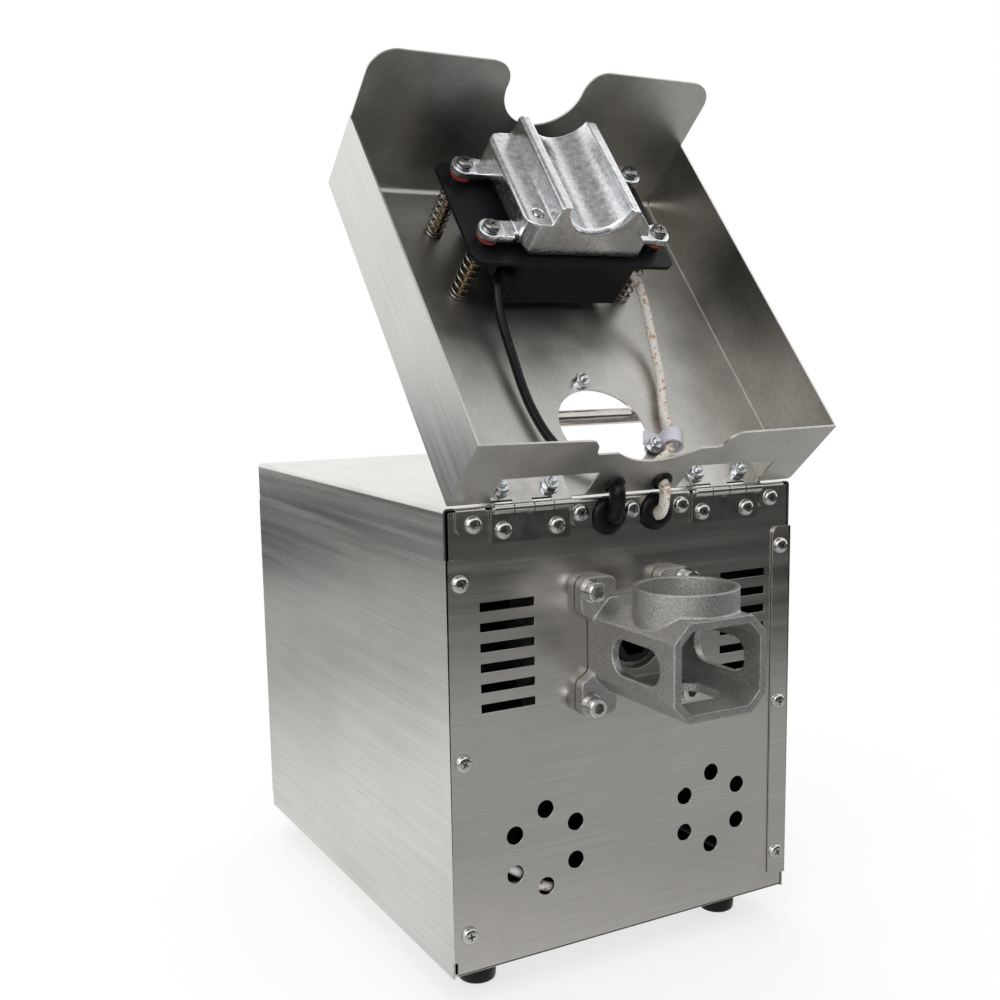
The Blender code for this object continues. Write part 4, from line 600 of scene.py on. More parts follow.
def handle():
    lean, clear = 53, HOOD_TOP + 4.3
    turn = radians(OPEN_ANGLE)
    y = HINGE_Y - lean * cos(turn) + clear * sin(turn)
    z = HINGE_Z + lean * sin(turn) + clear * cos(turn)
    route = [(-60, 224.3), (-60, 232), *arc((-48, z - 12), 12, 180, 90, 14),
             (-20, z), (20, z), *arc((48, z - 12), 12, 90, 0, 14),
             (60, 232), (60, 224.3)]
    made = new_object("carrying_bar", tube_mesh([(a, y, b) for a, b in route], 4, 32))
    dress(made, CASE, "chassis", bar_metal, ["carrying_handle"], 50)
    ring = [(4.2, 224.05), (7, 224.05), (7, 225.2), (6.6, 225.6), (4.2, 225.6)]
    for side, word in ((-1, "left"), (1, "right")):
        made = new_object("handle_washer_" + word, turned(ring, (side * 60, y), closed=True))
        dress(made, CASE, "chassis", nut_metal)


# Small fasteners, each drawn once with its seat at the origin and its head along Z

def pan_head(radius, height):
    profile = [(0, -0.4), (radius - 0.15, -0.4), (radius, 0), (radius, height * 0.28),
               (radius * 0.94, height * 0.58), (radius * 0.78, height * 0.84),
               (radius * 0.5, height * 0.97), (0, height)]
    cuts = []
    for k in range(2):
        bar = block((-radius * 0.46, -radius * 0.085, height * 0.4),
                    (radius * 0.46, radius * 0.085, height + 1))
        bmesh.ops.rotate(bar, verts=bar.verts, matrix=Matrix.Rotation(k * pi / 2, 3, "Z"))
        cuts.append(bar)
    well = turned([(0, height * 0.1), (radius * 0.12, height * 0.25),
                   (radius * 0.2, height + 0.5), (0, height + 0.5)], count=8)
    made = carved("pan_head", turned(profile, count=40), cut=[*cuts, well])
    ease(made, 0.08, 1, 50)

    # Faces deep in the cross recess, which take the painted shade.
    def shaded_recess(middle, _):
        reach = hypot(middle.x, middle.y) / radius
        return reach < 0.5 and middle.z < height * (1 - 0.36 * reach * reach) - 0.3

    made.data.materials.append(screw_metal)
    paint_faces(made, painted_recess_shade, shaded_recess)
    return made


def stud(low, high, root, tip):
    """Outline of an M4 thread, to be turned."""
    profile, z = [(0, low)], low
    while z < high:
        profile += [(2, z), (root, z + 0.35)]
        z += 0.7
    return [*profile, (tip, z), (0, z)]


def hex_nut(flats, height, washer, bolt):
    """Nut on a washer with the end of its screw standing out of it."""
    corner = flats / sqrt(3)
    edge, top = corner + 0.1, height + 0.8
    crown = turned([(0, 0.5), (corner - 0.2, 0.5), (edge, 1.2), (edge, height + 0.3),
                    (corner - 0.55, top), (0, top)])
    nut = as_shape(carved("nut_blank", prism(circle(corner, count=6), 0.8, 0.8 + height, "Z"),
                          within=[crown]))
    disc = turned([(0, 0), (washer, 0), (washer, 0.7), (washer - 0.2, 0.85), (0, 0.85)])
    bolt_end = turned(stud(0.2, height + bolt, 1.72, 1.5), count=32)
    made = carved("hex_nut", nut, add=[disc, bolt_end])
    ease(made, 0.06, 1, 50)
    return made


def socket_screw():
    """Cap screw on a spring washer and a flat washer."""
    head = [(0, 2.4), (4.8, 2.4), (4.85, 2.6), (4.85, 6.8), (4.3, 7.4), (0, 7.4)]
    washer = [(0, 0), (5.7, 0), (5.7, 1.1), (0, 1.1)]
    spring = [(0, 1), (5.1, 1), (5.1, 2.45), (0, 2.45)]
    made = carved("socket_screw", turned(head, count=56),
                  add=[turned(washer, count=56), turned(spring, count=56)],
                  cut=[prism(circle(2.9, count=6), 3.6, 8, "Z")])
    ease(made, 0.12, 2, 50)
    made.data.materials.append(screw_metal)
    # The socket's floor is painted dark as shade.
    paint_faces(made, painted_recess_shade,
                lambda middle, _: hypot(middle.x, middle.y) < 2.8 and middle.z < 4.2)
    return made


def stamp(source, name, place, body, look, replaces=()):
    """Another copy of a small part."""
    made = link(bpy.data.objects.new(name, source.data))
    if source.data.materials:
        source.data.materials[0] = look
    else:
        source.data.materials.append(look)
    source.data.shade_smooth()
    source.data.set_sharp_from_angle(angle=radians(35))
    seat(made, place, body, replaces)


def case_screws():
    head = pan_head(4.2, 2.4)
    forward, back = (0, -1, 0), (0, 1, 0)
    spots = [(-94.1, 189.5), (-94.1, 105.3), (-92.9, 20.8), (93.1, 190.5), (93.1, 106.2),
             (93.1, 21.6), (-86.7, 216), (85.6, 216.4), (-30, 217.2), (-0.4, 216.8),
             (28.7, 216.8)]
    screws = []
    for k, (x, z) in enumerate(spots):
        screws += [(f"panel_screw_{k}", (x, -1.3, z), forward, 20 + 37 * k),
                   (f"rear_screw_{k}", (x, CASE_DEPTH, z), back, 51 * k)]
    screws += [(f"leaf_screw_{k}", (x, -1.5, 212.4), forward, 10 + 61 * k)
               for k, x in enumerate((-71.4, -42.9, 41.7, 69.6))]
    for name, point, way, spin in screws:
        stamp(head, name, along(CASE, point, way, spin), "chassis", screw_metal)
    bpy.data.objects.remove(head)


def throat_fasteners():
    screw = socket_screw()
    for k, corner in enumerate(("upper_left", "upper_right", "lower_left", "lower_right")):
        name = "throat_screw_" + corner
        spot_z = AXIS_Z + (EARS_RISE if k < 2 else -EARS_RISE)
        place = along(CASE, (EARS_X[k % 2], -7.1, spot_z), (0, -1, 0), 17 * k)
        stamp(screw, "cap_" + name, place, "chassis", screw_metal, [name])
    bpy.data.objects.remove(screw)


def grommets():
    outer, inner = -4 + 0.3, -5 - 0.3
    panel = [(3.6, -3.4), (5.6, -3.7), (7.8, -3.2), (9, -2.2), (9.4, -1.2), (9.1, -0.3),
             (6.2, -0.3), (6.2, 1.5), (8, 1.5), (8, 3.5), (3.6, 3.5)]
    hood = [(3, outer + 1.7), (4.4, outer + 1.8), (5.3, outer + 1.2), (5.6, outer),
            (4.1, outer), (4.1, inner), (5.6, inner), (5.3, inner - 1.1), (4.4, inner - 1.7),
            (3, inner - 1.6)]
    for side, word in ((-1, "left"), (1, "right")):
        for part, ring, height, count, place, body in (
                ("panel", panel, GROMMET_Z, 56, CASE, "chassis"),
                ("hood", hood, HOOD_TOP - GROMMET_DROP, 48, HOOD, "hood")):
            shape = turned(ring, (side * GROMMET_X, height), "Y", count, closed=True)
            dress(new_object(f"{part}_ring_{word}", shape), place, body, black_rubber,
                  [f"{part}_grommet_{word}"], 60)


# Throat

def throat_casting():
    front, back = -71.5, -0.3
    rim = AXIS_Z + 22.8 + 11
    bore = (0, -44.7)
    shell = prism(rounded((-25.9, AXIS_Z - 22.8), (25.9, AXIS_Z + 22.8), 8.4, 1), front, back, "Y")
    cavity = prism(rounded((-21.9, AXIS_Z - 18.8), (21.9, AXIS_Z + 18.8), 6, 1),
                   front - 1, back - 5, "Y")
    collar = rod(24.7, AXIS_Z + 11, rim, "Z", bore, 96)
    outline = [(-2.7, -17), (-20, -17), (-20, -5.8), (-16.4, -4.8), (-15.2, -2.4),
               *arc((-10.4, 1.6), 4.6, 180, 90, 7), *arc((-0.4, 1), 5.2, 90, 0, 8),
               *arc((0.4, -8.4), 4.4, 0, -65, 5), (0.4, -13.4), (-1.6, -14.9)]
    ears = []
    for x, across in zip(EARS_X, (-1, 1)):
        for up in (-1, 1):
            pad = [(x + across * a, AXIS_Z + up * EARS_RISE + up * b) for a, b in outline]
            ears.append(prism(pad, back - 6.5, back, "Y"))
    window = rounded((-60, AXIS_Z - 8.5), (-22, AXIS_Z + 8.5), 8.4, 8)
    cuts = [cavity, rod(22.1, AXIS_Z, rim + 1, "Z", bore, 96),
            prism(window, -30, 30, "X"),
            prism(rounded((-17, -54), (17, -26), 7), AXIS_Z - 25, AXIS_Z - 9, "Z"),
            rod(14, -8, 1, "Y", (0, AXIS_Z), 64)]
    made = carved("throat_casting", shell, [collar, *ears], cuts)
    cast(made, 0.5, 3)
    dress(made, CASE, "chassis", throat_metal, ["feed_throat"], 80)


# Hinges

def butt_hinges():
    width, knuckles, room = 42, 4, 3.5
    span = width / knuckles
    for word, x in (("left", -77.6), ("right", 35.6)):
        stop = x + width
        for part, body, place, skip in (("lower", "chassis", CASE, 0), ("upper", "hood", HOOD, 1)):
            if part == "lower":
                plate = block((x, -1.5, HINGE_Z - 15.8), (stop, -0.3, HINGE_Z - 0.5))
                centre = (HINGE_Y, HINGE_Z)
            else:
                plate = block((x, -15.8, HOOD_TOP - 2.5), (stop, -0.5, HOOD_TOP - 1.3))
                centre = (0, 0)
            barrels, clear = [], []
            for k in range(knuckles):
                start, end = x + k * span, x + (k + 1) * span
                if k % 2 == skip:
                    barrels.append(rod(2.4, start + 0.3, end - 0.3, "X", centre, 40))
                else:
                    clear.append(block((start - 0.1, centre[0] - room, centre[1] - room),
                                       (end + 0.1, centre[0] + room, centre[1] + room)))
            leaf = as_shape(carved("leaf_blank", plate, cut=[together(clear)]))
            hole = rod(1.45, x - 1, stop + 1, "X", centre, 24)
            made = carved(f"leaf_{part}_{word}", leaf, [together(barrels)], [hole])
            ease(made, 0.12, 1)
            dress(made, place, body, leaf_steel, [f"hinge_{part}_leaf_{word}"])
            paint_faces(made, bar_metal, lambda middle, _: hypot(
                middle.y - centre[0], middle.z - centre[1]) < 2.45)
        pin = turned([(0, x - 0.5), (1.2, x - 0.5), (1.25, x - 0.3), (1.25, stop + 0.3),
                      (1.2, stop + 0.5), (0, stop + 0.5)], (HINGE_Y, HINGE_Z), "X", 24)
        dress(new_object("pin_" + word, pin), CASE, "chassis", screw_metal, ["hinge_pin_" + word])


# Hood

def near_wall():
    top = HOOD_TOP
    rise = 32.8 - 24.9
    radius = (23.5 ** 2 + rise ** 2) / (2 * rise)
    spread_angle = acos((radius - rise) / radius) * 180 / pi
    right = arc((HALF - BEND, top - BEND), BEND, 90, 0, 6)
    rim = [(HALF, 45), (46, 43.7), (42.2, 43.5), (40.5, 42.8), (39, 41.6), (37.7, 40.1),
           (36.8, 38.5), (36.3, 36.8), (36, 35.3), (35.6, 34.2), (34.9, 33.3), (34, 32.9),
           (33, 32.8)]
    right += [(x, top - depth) for x, depth in rim]
    middle = arc((0, top - 24.9 - radius), radius, 90 - spread_angle, 90 + spread_angle, 24)
    return right + middle + [(-x, z) for x, z in reversed(right)]


def far_wall():
    top = HOOD_TOP
    low, notch = top - 86, -1
    right = arc((HALF - BEND, top - BEND), BEND, 90, 0, 6)
    right += arc((HALF - 14.4, low + 14), 14, 0, -90, 12)
    inner = arc((34.5, low + 12.2), 12.2, 270, 180, 10)
    middle = arc((notch, top - 71.7), 22.3, 0, 180, 36)
    return (right + [(x + notch, z) for x, z in inner] + middle
            + [(notch - x, z) for x, z in reversed(inner)] + [(-x, z) for x, z in reversed(right)])


def hood_body():
    top = HOOD_TOP
    path = [(-HALF, top - 45), (-HALF, top), (HALF, top), (HALF, top - 45)]
    shell = prism(bent_sheet(path, -1), HOOD_FAR + 0.05, -4.05, "Y")
    walls = [prism(near_wall(), -5, -4, "Y"), prism(far_wall(), HOOD_FAR, HOOD_FAR + 1, "Y"),
             prism([(-205.5, top - 0.8), (-205.5, top - 4.2), (-204.4, top - 2.6),
                    (-203, top - 1.6), (-201, top - 0.8)], -98.6, 98.6, "X")]
    cuts = []
    for side in (-1, 1):
        ends = sorted((side * 26.5, side * 78.5))
        cuts.append(block((ends[0], -7, top - 18.5), (ends[1], -3, top - 1)))
        cuts.append(rod(4.4, -7, -3, "Y", (side * GROMMET_X, top - GROMMET_DROP), 32))
    feed = rod(24.5, top - 3, top + 1, "Z", (0, -41.9), 96)
    made = carved("hood_body", shell, walls, [together(cuts), feed])
    ease(made, 0.2, 1)
    dress(made, HOOD, "hood", satin_steel, ["hood_shell", "hood_near_wall", "hood_far_wall"])
    # The right wall's inner face is painted darker as shade and also carries smudges.
    paint_faces(made, smudged_and_shaded_steel, lambda middle, normal: middle.x > 98 and normal.x < -0.7)
    paint_faces(made, hood_steel, lambda middle, _: abs(middle.x) > 99.4 or middle.z > top - 0.6)
    paint_faces(made, panel_steel, lambda middle, normal: middle.y < -205.6 and normal.y < -0.7)


def hood_nuts():
    up, down = (0, 0, 1), (0, 0, -1)
    nut, head = hex_nut(7, 3, 4.6, 2.6), pan_head(3.6, 2.1)
    spots = [(-71.4, 9.4, 2.5), (-44.8, 9.4, 2.5), (39.4, 9.4, 2.5), (66.9, 9.4, 2.5),
             (-2, 70.6, 1), (22.7, 28.2, 2.6)]
    for k, (x, out, depth) in enumerate(spots):
        stamp(nut, f"hood_nut_{k}", along(HOOD, (x, -out, HOOD_TOP - depth), down, 13 + 29 * k),
              "hood", nut_metal)
        stamp(head, f"hood_screw_{k}", along(HOOD, (x, -out, HOOD_TOP), up, 33 * k),
              "hood", screw_metal)
    for k, (_, x, out, _) in enumerate(LUGS):
        stamp(nut, f"stop_nut_{k}", along(HOOD, (x, -out, HOOD_TOP + 0.05), up, 41 * k),
              "heater_carriage", nut_metal)
    for source in (nut, head):
        bpy.data.objects.remove(source)


# Heater carriage

LUGS = [("near_left", -49.7, 130.6, 42.9), ("near_right", 47.8, 130.6, 44.3),
        ("far_left", -49.3, 173.9, 42.9), ("far_right", 48.5, 173.9, 44.3)]
PLATE_DEPTH, PLATE = 38.2, 2.3
SENSOR = (-28.6, -129.8)


def block_outline(across, depth, radius):
    """Outline of the heater block with a trough of this centre and radius."""
    start = 90 - acos((depth - 70.3) / radius) * 180 / pi
    trough = arc((across, -depth), radius, start, 180 - start, 40)[::-1]
    left = [(-29, -39.3), (-36.4, -45.5), (-36.8, -56.6), (-36.2, -58.2), (-35.2, -58.7),
            (-24.2, -58.7), (-23.2, -59.8), (-22.6, -69.2), (-21.5, -70.3)]
    right = [(22, -70.1), (22.6, -69.2), (23.2, -66.1), (23.9, -61.5), (25.2, -57.3),
             (34.4, -50.2), (35.5, -41.5), (34.4, -39.3)]
    return [(x, HOOD_TOP + z) for x, z in left + trough + right]


def heater_casting():
    top = HOOD_TOP
    body = loft([(-186.3, block_outline(-0.4, 76, 17.6)),
                 (-123.6, block_outline(0.46, 72.6, 17.3)),
                 (-121.3, block_outline(0.5, 72.6, 18.9))], "Y")
    bmesh.ops.triangulate(body, faces=body.faces)
    gusset = prism([(22.3, top - 69.5), (32.7, top - 59.8), (35, top - 53.5),
                    (24.8, top - 55)], -126.4, -121.8, "Y")
    corner = prism([(-38, -120), (-38, -128), (-36.9, -128), (-36, -124.6),
                    (-33.6, -122.2), (-30, -121.2), (-30, -120)], top - 60, top - 38, "Z")
    far_corner = prism([(-38, -187.5), (-38, -178.5), (-36.9, -178.5), (-36.2, -182.2),
                        (-34, -185), (-29.5, -186.2), (-29.5, -187.5)],
                       top - 60, top - 38, "Z")
    lugs, holes = [gusset], [corner, far_corner]
    for _, x, out, depth in LUGS:
        inward = 1 if x < 0 else -1
        low, high = top - depth - 4.2, top - depth
        arm = block((min(x, x + 18 * inward), -out - 5.9, low + 0.3),
                    (max(x, x + 18 * inward), -out + 5.9, high - 0.2))
        lugs += [arm, rod(6.5, low, high, "Z", (x, -out), 48)]
        holes.append(rod(2.3, low - 2, high + 2, "Z", (x, -out), 24))
    holes.append(rod(3, top - 60, top - 50, "Z", SENSOR, 32))
    made = carved("heater_casting", body, lugs, holes)
    cast(made, 0.5, 6)
    dress(made, HOOD, "heater_carriage", block_metal, ["heater_block"], 80)
    ring = [(0, -2.2), (2.6, -2.2), (2.6, -0.3), (2.2, 0.1), (0, 0.2)]
    slot = block((-0.5, -2.3, -0.9), (0.5, 2.3, 2))
    made = carved("sensor_screw", turned(ring, count=32), cut=[slot])
    dress(made, along(HOOD, (*SENSOR, top - 58.6), (0, 0, -1), 30), "heater_carriage",
          screw_metal)


def heater_frame():
    top = HOOD_TOP
    face = top - PLATE_DEPTH
    plate = rounded((-59.7, -185.3), (58, -116.3), 5.5, 8)
    box = rounded((-32.3, -179), (37, -119), 2, 4)
    made = carved("bracket_plate", prism(plate, face, face + PLATE, "Z"),
                  add=[prism(box, face + 1, top - 7.4, "Z")])
    ease(made, 0.3, 2)
    dress(made, HOOD, "heater_carriage", black_coat,
          ["heater_bracket", "insulation_box", "heating_element"])
    head = pan_head(4.2, 2.6)
    for k, (name, x, out, depth) in enumerate(LUGS):
        seat_z, middle = top - depth - 4.5, top - depth + 2.2
        stamp(head, "lug_screw_" + name,
              along(HOOD, (x, -out, seat_z - 0.5), (0, 0, -1), 25 + 40 * k),
              "heater_carriage", dark_nickel)
        thread = turned(stud(seat_z + 0.5, top + 3, 1.7, 1.6), (x, -out), count=28)
        dress(new_object("lug_stud_" + name, thread), HOOD, "heater_carriage", zinc_thread,
              ["carriage_screw_" + name])
        for word, wide, low, high, soft, look, covers in (
                ("lug_washer_", 4.6, seat_z, seat_z - 0.6, False, nut_metal, []),
                ("red_washer_", 5.3, top - depth + 0.2, middle, True, red_fibre,
                 ["fibre_washer_" + name]),
                ("steel_ring_", 4.7, middle + 0.1, face - 0.1, True, dark_nickel, [])):
            ring = [(2.3, low), (wide, low), (wide, high), (2.3, high)]
            made = new_object(word + name, turned(ring, (x, -out), closed=True))
            if soft:
                ease(made, 0.2, 1)
            dress(made, HOOD, "heater_carriage", look, covers)
    bpy.data.objects.remove(head)


def coil(x, y, start, end, turns, radius, wire_radius, steps):
    """Route of a spring whose first and last turns lie closed."""
    closed = 2.3 * wire_radius
    body = abs(end - start) - 2 * closed
    way = 1 if end > start else -1
    points = []
    for k in range(turns * steps + 1):
        turn = k / steps
        if turn < 1:
            rise = closed * turn
        elif turn > turns - 1:
            rise = closed + body + closed * (turn - turns + 1)
        else:
            rise = closed + body * (turn - 1) / (turns - 2)
        points.append((x + radius * cos(2 * pi * turn), y + radius * sin(2 * pi * turn),
                       start + way * rise))
    return points


def springs():
    top = HOOD_TOP
    wire, radius, turns = 0.55, 4.4, 9
    start, end = top - 1 - 0.6, top - PLATE_DEPTH + PLATE + 0.6
    for name, x, out, _ in LUGS:
        x -= 1.5 if x < 0 else 0
        route = coil(x, -out, start, end, turns, radius, wire, 24)
        made = new_object("spring_" + name, tube_mesh(route, wire, 10))
        dress(made, HOOD, None, spring_metal, ["carriage_spring_" + name], 60)
        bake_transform(made)


# Leads

def in_case(x, out, depth):
    """The case frame's point for one so far out from the hinge and below the open hood's top."""
    turn = radians(-OPEN_ANGLE)
    y, z = -out, HOOD_TOP - depth
    return (x, HINGE_Y + y * cos(turn) - z * sin(turn), HINGE_Z + y * sin(turn) + z * cos(turn))


def smooth_route(points, spacing):
    """A curve through the points, in steps of about equal length."""
    line = [Vector(point) for point in points]
    line = [2 * line[0] - line[1], *line, 2 * line[-1] - line[-2]]
    fine = []
    for a, b, c, d in zip(line, line[1:], line[2:], line[3:]):
        for step in range(24):
            t = step / 24
            fine.append(0.5 * (2 * b + (c - a) * t + (2 * a - 5 * b + 4 * c - d) * t * t
                               + (3 * b - a - 3 * c + d) * t ** 3))
    fine.append(line[-2])
    reach = [0]
    for one, two in zip(fine, fine[1:]):
        reach.append(reach[-1] + (two - one).length)
    count = round(reach[-1] / spacing)
    found, k = [], 0
    for step in range(count + 1):
        wanted = reach[-1] * step / count
        while k < len(fine) - 2 and reach[k + 1] < wanted:
            k += 1
        share = (wanted - reach[k]) / (reach[k + 1] - reach[k])
        found.append(tuple(fine[k].lerp(fine[k + 1], min(1, share))))
    return found


def lead_route(points, side):
    x = side * GROMMET_X
    route = [in_case(*point) for point in points]
    route += [in_case(x, out, GROMMET_DROP) for out in (12, 8.2, 1.8, -0.5)]
    loop = [(-8.4, 222.3), (-7.8, 218.8), (-6.6, 216.2), (-4.9, 214.8), (-2.8, GROMMET_Z),
            (5, GROMMET_Z), (8, GROMMET_Z), (14, 210.4)]
    route += [(x, y, z) for y, z in loop]
    return smooth_route(route, 1.2)


def neck(route, wide, thin):
    """Section stretch for each point: the lead swells where it crosses the hinge line."""
    start = Vector(in_case(0, 9, GROMMET_DROP))
    inward = Vector(in_case(0, 10, GROMMET_DROP)) - start
    found = []
    for x, y, z in route:
        in_hood = (Vector((0, y, z)) - start).dot(inward) > 0 and z > CASE_HEIGHT
        behind_panel = y > 1 and z < CASE_HEIGHT
        found.append(0 if in_hood or behind_panel else 1)
    for _ in range(5):
        found = [(found[max(k - 1, 0)] + found[k] + found[min(k + 1, len(found) - 1)]) / 3
                 for k in range(len(found))]
    return [(1 + (wide - 1) * s, 1 + (thin - 1) * s) for s in found]


def braid_look():
    """White braid with orange flecks, drawn in the lead's own round-and-along coordinates."""
    made = finish("glass braid", (0.78, 0.74, 0.68), 0.75, 0)
    round_and_along = node(made, "ShaderNodeUVMap", uv_map="tube").outputs["UV"]
    strands, lean = 8, 0.055
    heights = []
    for way in (-1, 1):
        slant = node(made, "ShaderNodeMapping",
                     {"Vector": round_and_along, "Scale": (1, lean * way, 1)})
        split = node(made, "ShaderNodeSeparateXYZ", {"Vector": slant.outputs["Vector"]}).outputs
        total = node(made, "ShaderNodeMath", {0: split["X"], 1: split["Y"]}, operation="ADD")
        wave = times(made, total.outputs["Value"], 2 * pi * strands)
        heights.append(node(made, "ShaderNodeMath", {0: wave}, operation="SINE").outputs["Value"])
    weave = times(made, *heights)
    flecks = node(made, "ShaderNodeTexNoise",
                  {"Vector": own_place(made), "Scale": 420, "Detail": 1}).outputs["Fac"]
    tint = node(made, "ShaderNodeMix", {
        "Factor": spread(made, flecks, 0, 0.8, 0.57, 0.63), "A": (0.80, 0.77, 0.72, 1),
        "B": (0.52, 0.22, 0.07, 1)}, data_type="RGBA")
    shadow = node(made, "ShaderNodeMix", {
        "Factor": spread(made, weave, 0.8, 0, -0.6, 0.5), "A": tint.outputs["Result"],
        "B": (0.62, 0.60, 0.58, 1)}, data_type="RGBA", blend_type="MULTIPLY")
    shader(made, {"Base Color": shadow.outputs["Result"]})
    bump(made, weave, 0.6, 0.25)
    return made


glass_braid = braid_look()


def leads():
    black = [(-26.6, 127, 22), (-30.6, 127, 22), (-34.6, 127, 22),
             (-37.6, 126.2, 21.7), (-39.8, 120, 19.5), (-40.4, 107, 13.5), (-40.2, 84, 9),
             (-39.8, 53, 6), (-34.6, 28, 6.5), (-20.4, 16.5, 8.3)]
    lean = radians(CLIP_LEAN)
    clip = [(31.4 + reach * sin(lean), 29.5 + reach * cos(lean), 5.6)
            for reach in (8.5, 5, -5, -8.5)]
    white = [(31.3, 127, 22), (35.3, 127, 22), (39.3, 127, 22), (42.8, 126.2, 22.3),
             (45.8, 121, 20), (47.3, 108, 15.5), (47.2, 89, 8.5), (43.8, 69, 6),
             (36.2, 47, 5.4), *clip, (18.3, 16, 7.4)]
    for name, points, side, look, covers, swell in (
            ("black_lead", black, -1, black_vinyl, "heater_lead", (1.75, 1.5)),
            ("white_lead", white, 1, glass_braid, "sensor_lead", (1.7, 1))):
        route = lead_route(points, side)
        made = new_object(name, tube_mesh(route, 2.4, 24, flat=neck(route, *swell)))
        dress(made, CASE, None, look, [covers], 80)
        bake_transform(made)


def inner_wires():
    """Wiring seen through two of the front panel's round holes."""
    grey = [(-88, 9, 57.5), (-76, 5, 52), (-67, 4.2, 46.4), (-61, 5.5, 42),
            (-55, 11, 38.5), (-45, 17, 34)]
    pale = [(-74, 17, 33), (-62, 9, 34), (-56, 5, 34.6), (-50, 4.6, 33.4),
            (-44, 5.6, 30.8), (-36, 11, 27)]
    for name, points, look in (("inner_braid", pale, glass_braid),
                               ("inner_wire", grey, grey_wire)):
        made = new_object(name, tube_mesh(smooth_route(points, 1.5), 2.6, 16))
        dress(made, CASE, "chassis", look, [], 80)


def clip():
    made = finish("milky nylon", (0.72, 0.72, 0.78), 0.32, 0)
    shader(made, {"Transmission Weight": 0.35, "Subsurface Weight": 0.3,
                  "Subsurface Radius": (0.004, 0.004, 0.004)})
    cloud = noise(made, (120,) * 3)
    shade_by(made, spread(made, cloud, 0.9, 1.08), (0.74, 0.74, 0.80))
    floor = HOOD_TOP - 1.35
    radius = 5.4
    centre = (0, floor - radius)
    outline = [(-14, floor), (0, floor)] + arc(centre, radius, 90, -165, 30)[1:]
    outline += [(-6.2, floor - 1.3), (-14, floor - 1.3)]
    body = prism(outline, -4.5, 4.5, "Y")
    hole = prism(circle(radius - 1.15, centre, 32), -6, 6, "Y")
    shape = carved("nylon_clip", body, cut=[hole])
    ease(shape, 0.25, 2)
    place = HOOD @ Matrix.Translation(Vector((32.5, -28.5, 0)) * MM) @ Matrix.Rotation(
        radians(CLIP_LEAN), 4, "Z")
    dress(shape, place, "hood", made, ["cable_clip"])


def plain_nodes():
    """Solids that are shown as they are get their finishes."""
    looks = {slots[look.name]: look for look in (black_plastic, red_plastic, gear_metal,
                                                 gear_bronze, housing_metal)}
    wanted = {row["node"]: row["material_slot"] for row in frame["record"]["subparts"]}
    for name, made in frame["nodes"].items():
        dark = name in ("drive_shaft", "drive_bearing")
        look = dark_steel if dark else looks.get(wanted.get(name))
        if look and not made.hide_render:
            made.data.materials.clear()
            made.data.materials.append(look)


# Studio

def show(made, socket):
    fill(made.node_tree.nodes["Material Output"], {"Surface": socket})


def studio():
    scene = bpy.context.scene
    scene.view_settings.view_transform = "Standard"
    world = bpy.data.worlds.new("studio")
    scene.world = world
    world.use_nodes = True
    world.node_tree.nodes.clear()
    path = node(world, "ShaderNodeLightPath").outputs
    seen = path["Is Camera Ray"]
    for name in ("Is Glossy Ray", "Is Transmission Ray"):
        seen = node(world, "ShaderNodeMath", {0: seen, 1: path[name]},
                    operation="MAXIMUM").outputs["Value"]
    light, white = (node(world, "ShaderNodeBackground", {
        "Color": (1, 1, 1, 1), "Strength": strength}) for strength in (0.72, 1))
    mix = node(world, "ShaderNodeMixShader", {
        "Fac": seen, 1: light.outputs["Background"], 2: white.outputs["Background"]})
    node(world, "ShaderNodeOutputWorld", {"Surface": mix.outputs["Shader"]})

    floor = finish("floor", (0.95, 0.95, 0.95), 0.6, 0)
    lit = floor.node_tree.nodes["Principled BSDF"].outputs["BSDF"]
    glow = node(floor, "ShaderNodeEmission").outputs["Emission"]
    near = node(floor, "ShaderNodeMixShader", {"Fac": 0.68, 1: lit, 2: glow})
    away = spread(floor, distance_from(floor, (0, 0, 0)), 0, 1, 0.17, 0.42)
    mix = node(floor, "ShaderNodeMixShader", {"Fac": away, 1: near.outputs["Shader"], 2: glow})
    show(floor, mix.outputs["Shader"])
    ground = new_object("floor", prism(rectangle((-6000, -6000), (6000, 6000)), -20, -1.2, "Z"))
    ground.data.materials.append(floor)

    reflection_cards()
    for name, place, power in (("key", (-1000, -1000, 1500), 12),
                               ("top", (200, 300, 1700), 9)):
        data = bpy.data.lights.new(name, "AREA")
        data.shape = "SQUARE"
        data.size = 1500 * MM
        data.energy = power
        lamp = link(bpy.data.objects.new(name, data))
        lamp.location = Vector(place) * MM
        aim = Vector((0, 0, 0.2)) - lamp.location
        lamp.rotation_euler = aim.to_track_quat("-Z", "Y").to_euler()


def card(name, shape, stops, centre=None):
    """A studio card that only reflections see. Its brightness follows the distance in metres from
    a centre, or the height."""
    look = finish(name, (0, 0, 0), 0.9, 0)
    if centre:
        place = distance_from(look, centre)
    else:
        place = node(look, "ShaderNodeSeparateXYZ", {"Vector": own_place(look)}).outputs["Z"]
    reach = stops[-1][0]
    ramp = node(look, "ShaderNodeValToRGB", {"Fac": spread(look, place, 0, 1, 0, reach)})
    marks = ramp.color_ramp.elements
    while len(marks) < len(stops):
        marks.new(0.5)
    for mark, (distance, level) in zip(marks, stops):
        mark.position = distance / reach
        mark.color = (level, level, level, 1)
    glow = node(look, "ShaderNodeEmission", {"Color": ramp.outputs["Color"]})
    show(look, glow.outputs["Emission"])
    made = new_object(name, shape)
    made.data.materials.append(look)
    made.visible_camera = False
    made.visible_shadow = False
    made.visible_diffuse = False
    made.visible_transmission = False


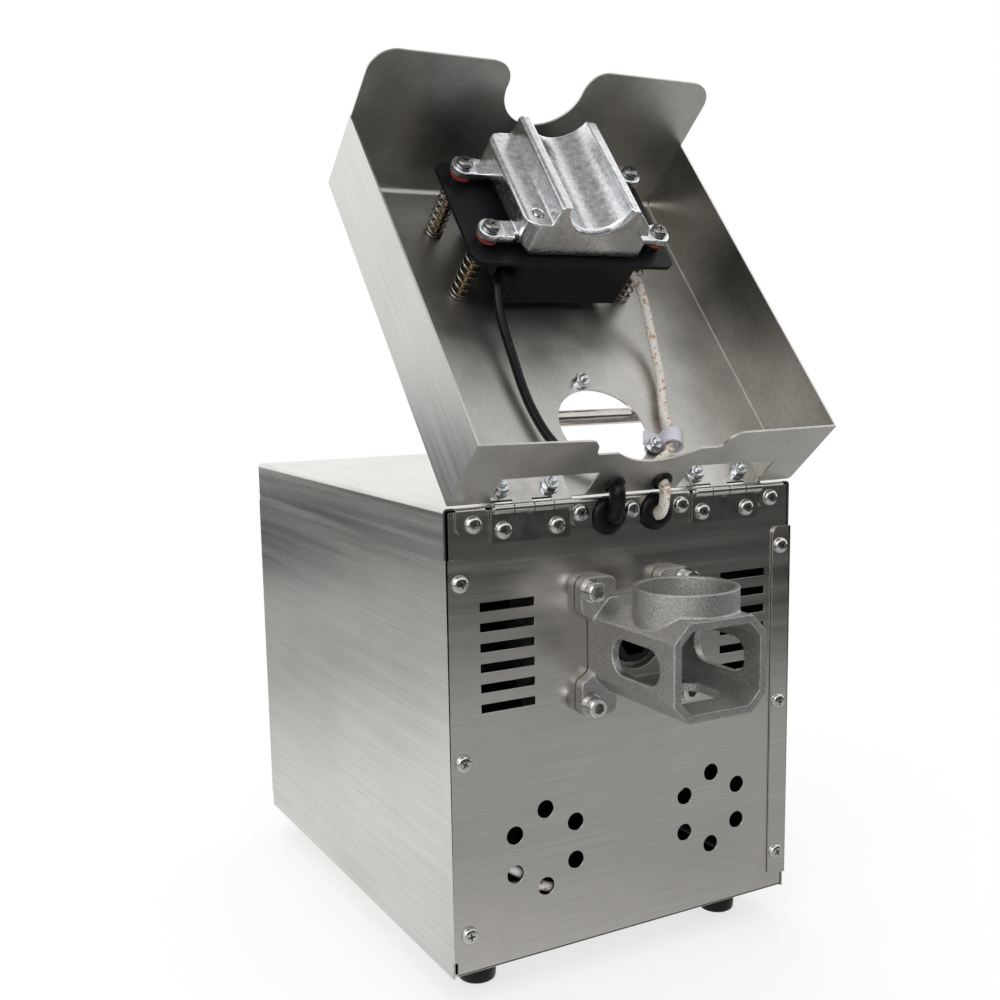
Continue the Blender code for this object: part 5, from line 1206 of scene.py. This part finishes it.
def reflection_cards():
    flat = prism(rectangle((-3000, -3000), (3000, 3000)), -0.8, -0.6, "Z")
    card("card_floor", flat, [(0, 0.9), (0.22, 0.70), (0.45, 0.44), (0.8, 0.48), (1.15, 0.06),
                              (2.4, 0.06), (3.4, 0.6)], (-0.25, 0.10, 0))
    wall = prism([(-700, -1900), (2600, -1250), (2600, -1240), (-700, -1890)], 0, 900, "Z")
    card("card_front", wall, [(0, 0.05), (0.9, 0.09)])
    wall = prism([(-1700, 200), (-700, 2100), (-690, 2100), (-1690, 200)], 0, 800, "Z")
    card("card_left", wall, [(0, 0.08), (0.11, 0.09), (0.16, 0.5), (0.25, 0.85), (0.8, 1)])
    roof = prism(rectangle((-2500, -2500), (3200, 700)), 1600, 1610, "Z")
    card("card_roof", roof, [(0, 0.20), (0.55, 0.24), (0.75, 0.50), (1, 0.82), (1.5, 1),
                             (3, 1)], (-0.3, -0.1, 1.6))


def camera():
    """The photograph's camera: its focal length and the image point on its axis, in pixels."""
    image, focal, centre = 1000, 1246.3, (544.2, 533.9)
    azimuth, elevation, roll = radians(-30.02), radians(8.63), radians(-0.66)
    back = Vector((sin(azimuth) * cos(elevation), -cos(azimuth) * cos(elevation), sin(elevation)))
    right = Vector((cos(azimuth), sin(azimuth), 0))
    side = right * cos(roll) + back.cross(right) * sin(roll)
    turn = Matrix((side, back.cross(side), back)).transposed().to_4x4()
    data = bpy.data.cameras.new("camera")
    data.sensor_width = 36
    data.lens = data.sensor_width * focal / image
    data.shift_x = -(centre[0] - image / 2) / image
    data.shift_y = (centre[1] - image / 2) / image
    data.clip_start, data.clip_end = 0.05, 60
    made = link(bpy.data.objects.new("camera", data))
    made.matrix_world = Matrix.Translation(at(CASE, -337.1, -498.5, 295.9)) @ turn
    bpy.context.scene.camera = made


for build in (case_tray, case_cover, rubber_feet, handle, case_screws, throat_casting,
              throat_fasteners, grommets, butt_hinges, hood_body, hood_nuts, heater_casting,
              heater_frame, springs, leads, inner_wires, clip, plain_nodes, studio, camera):
    build()
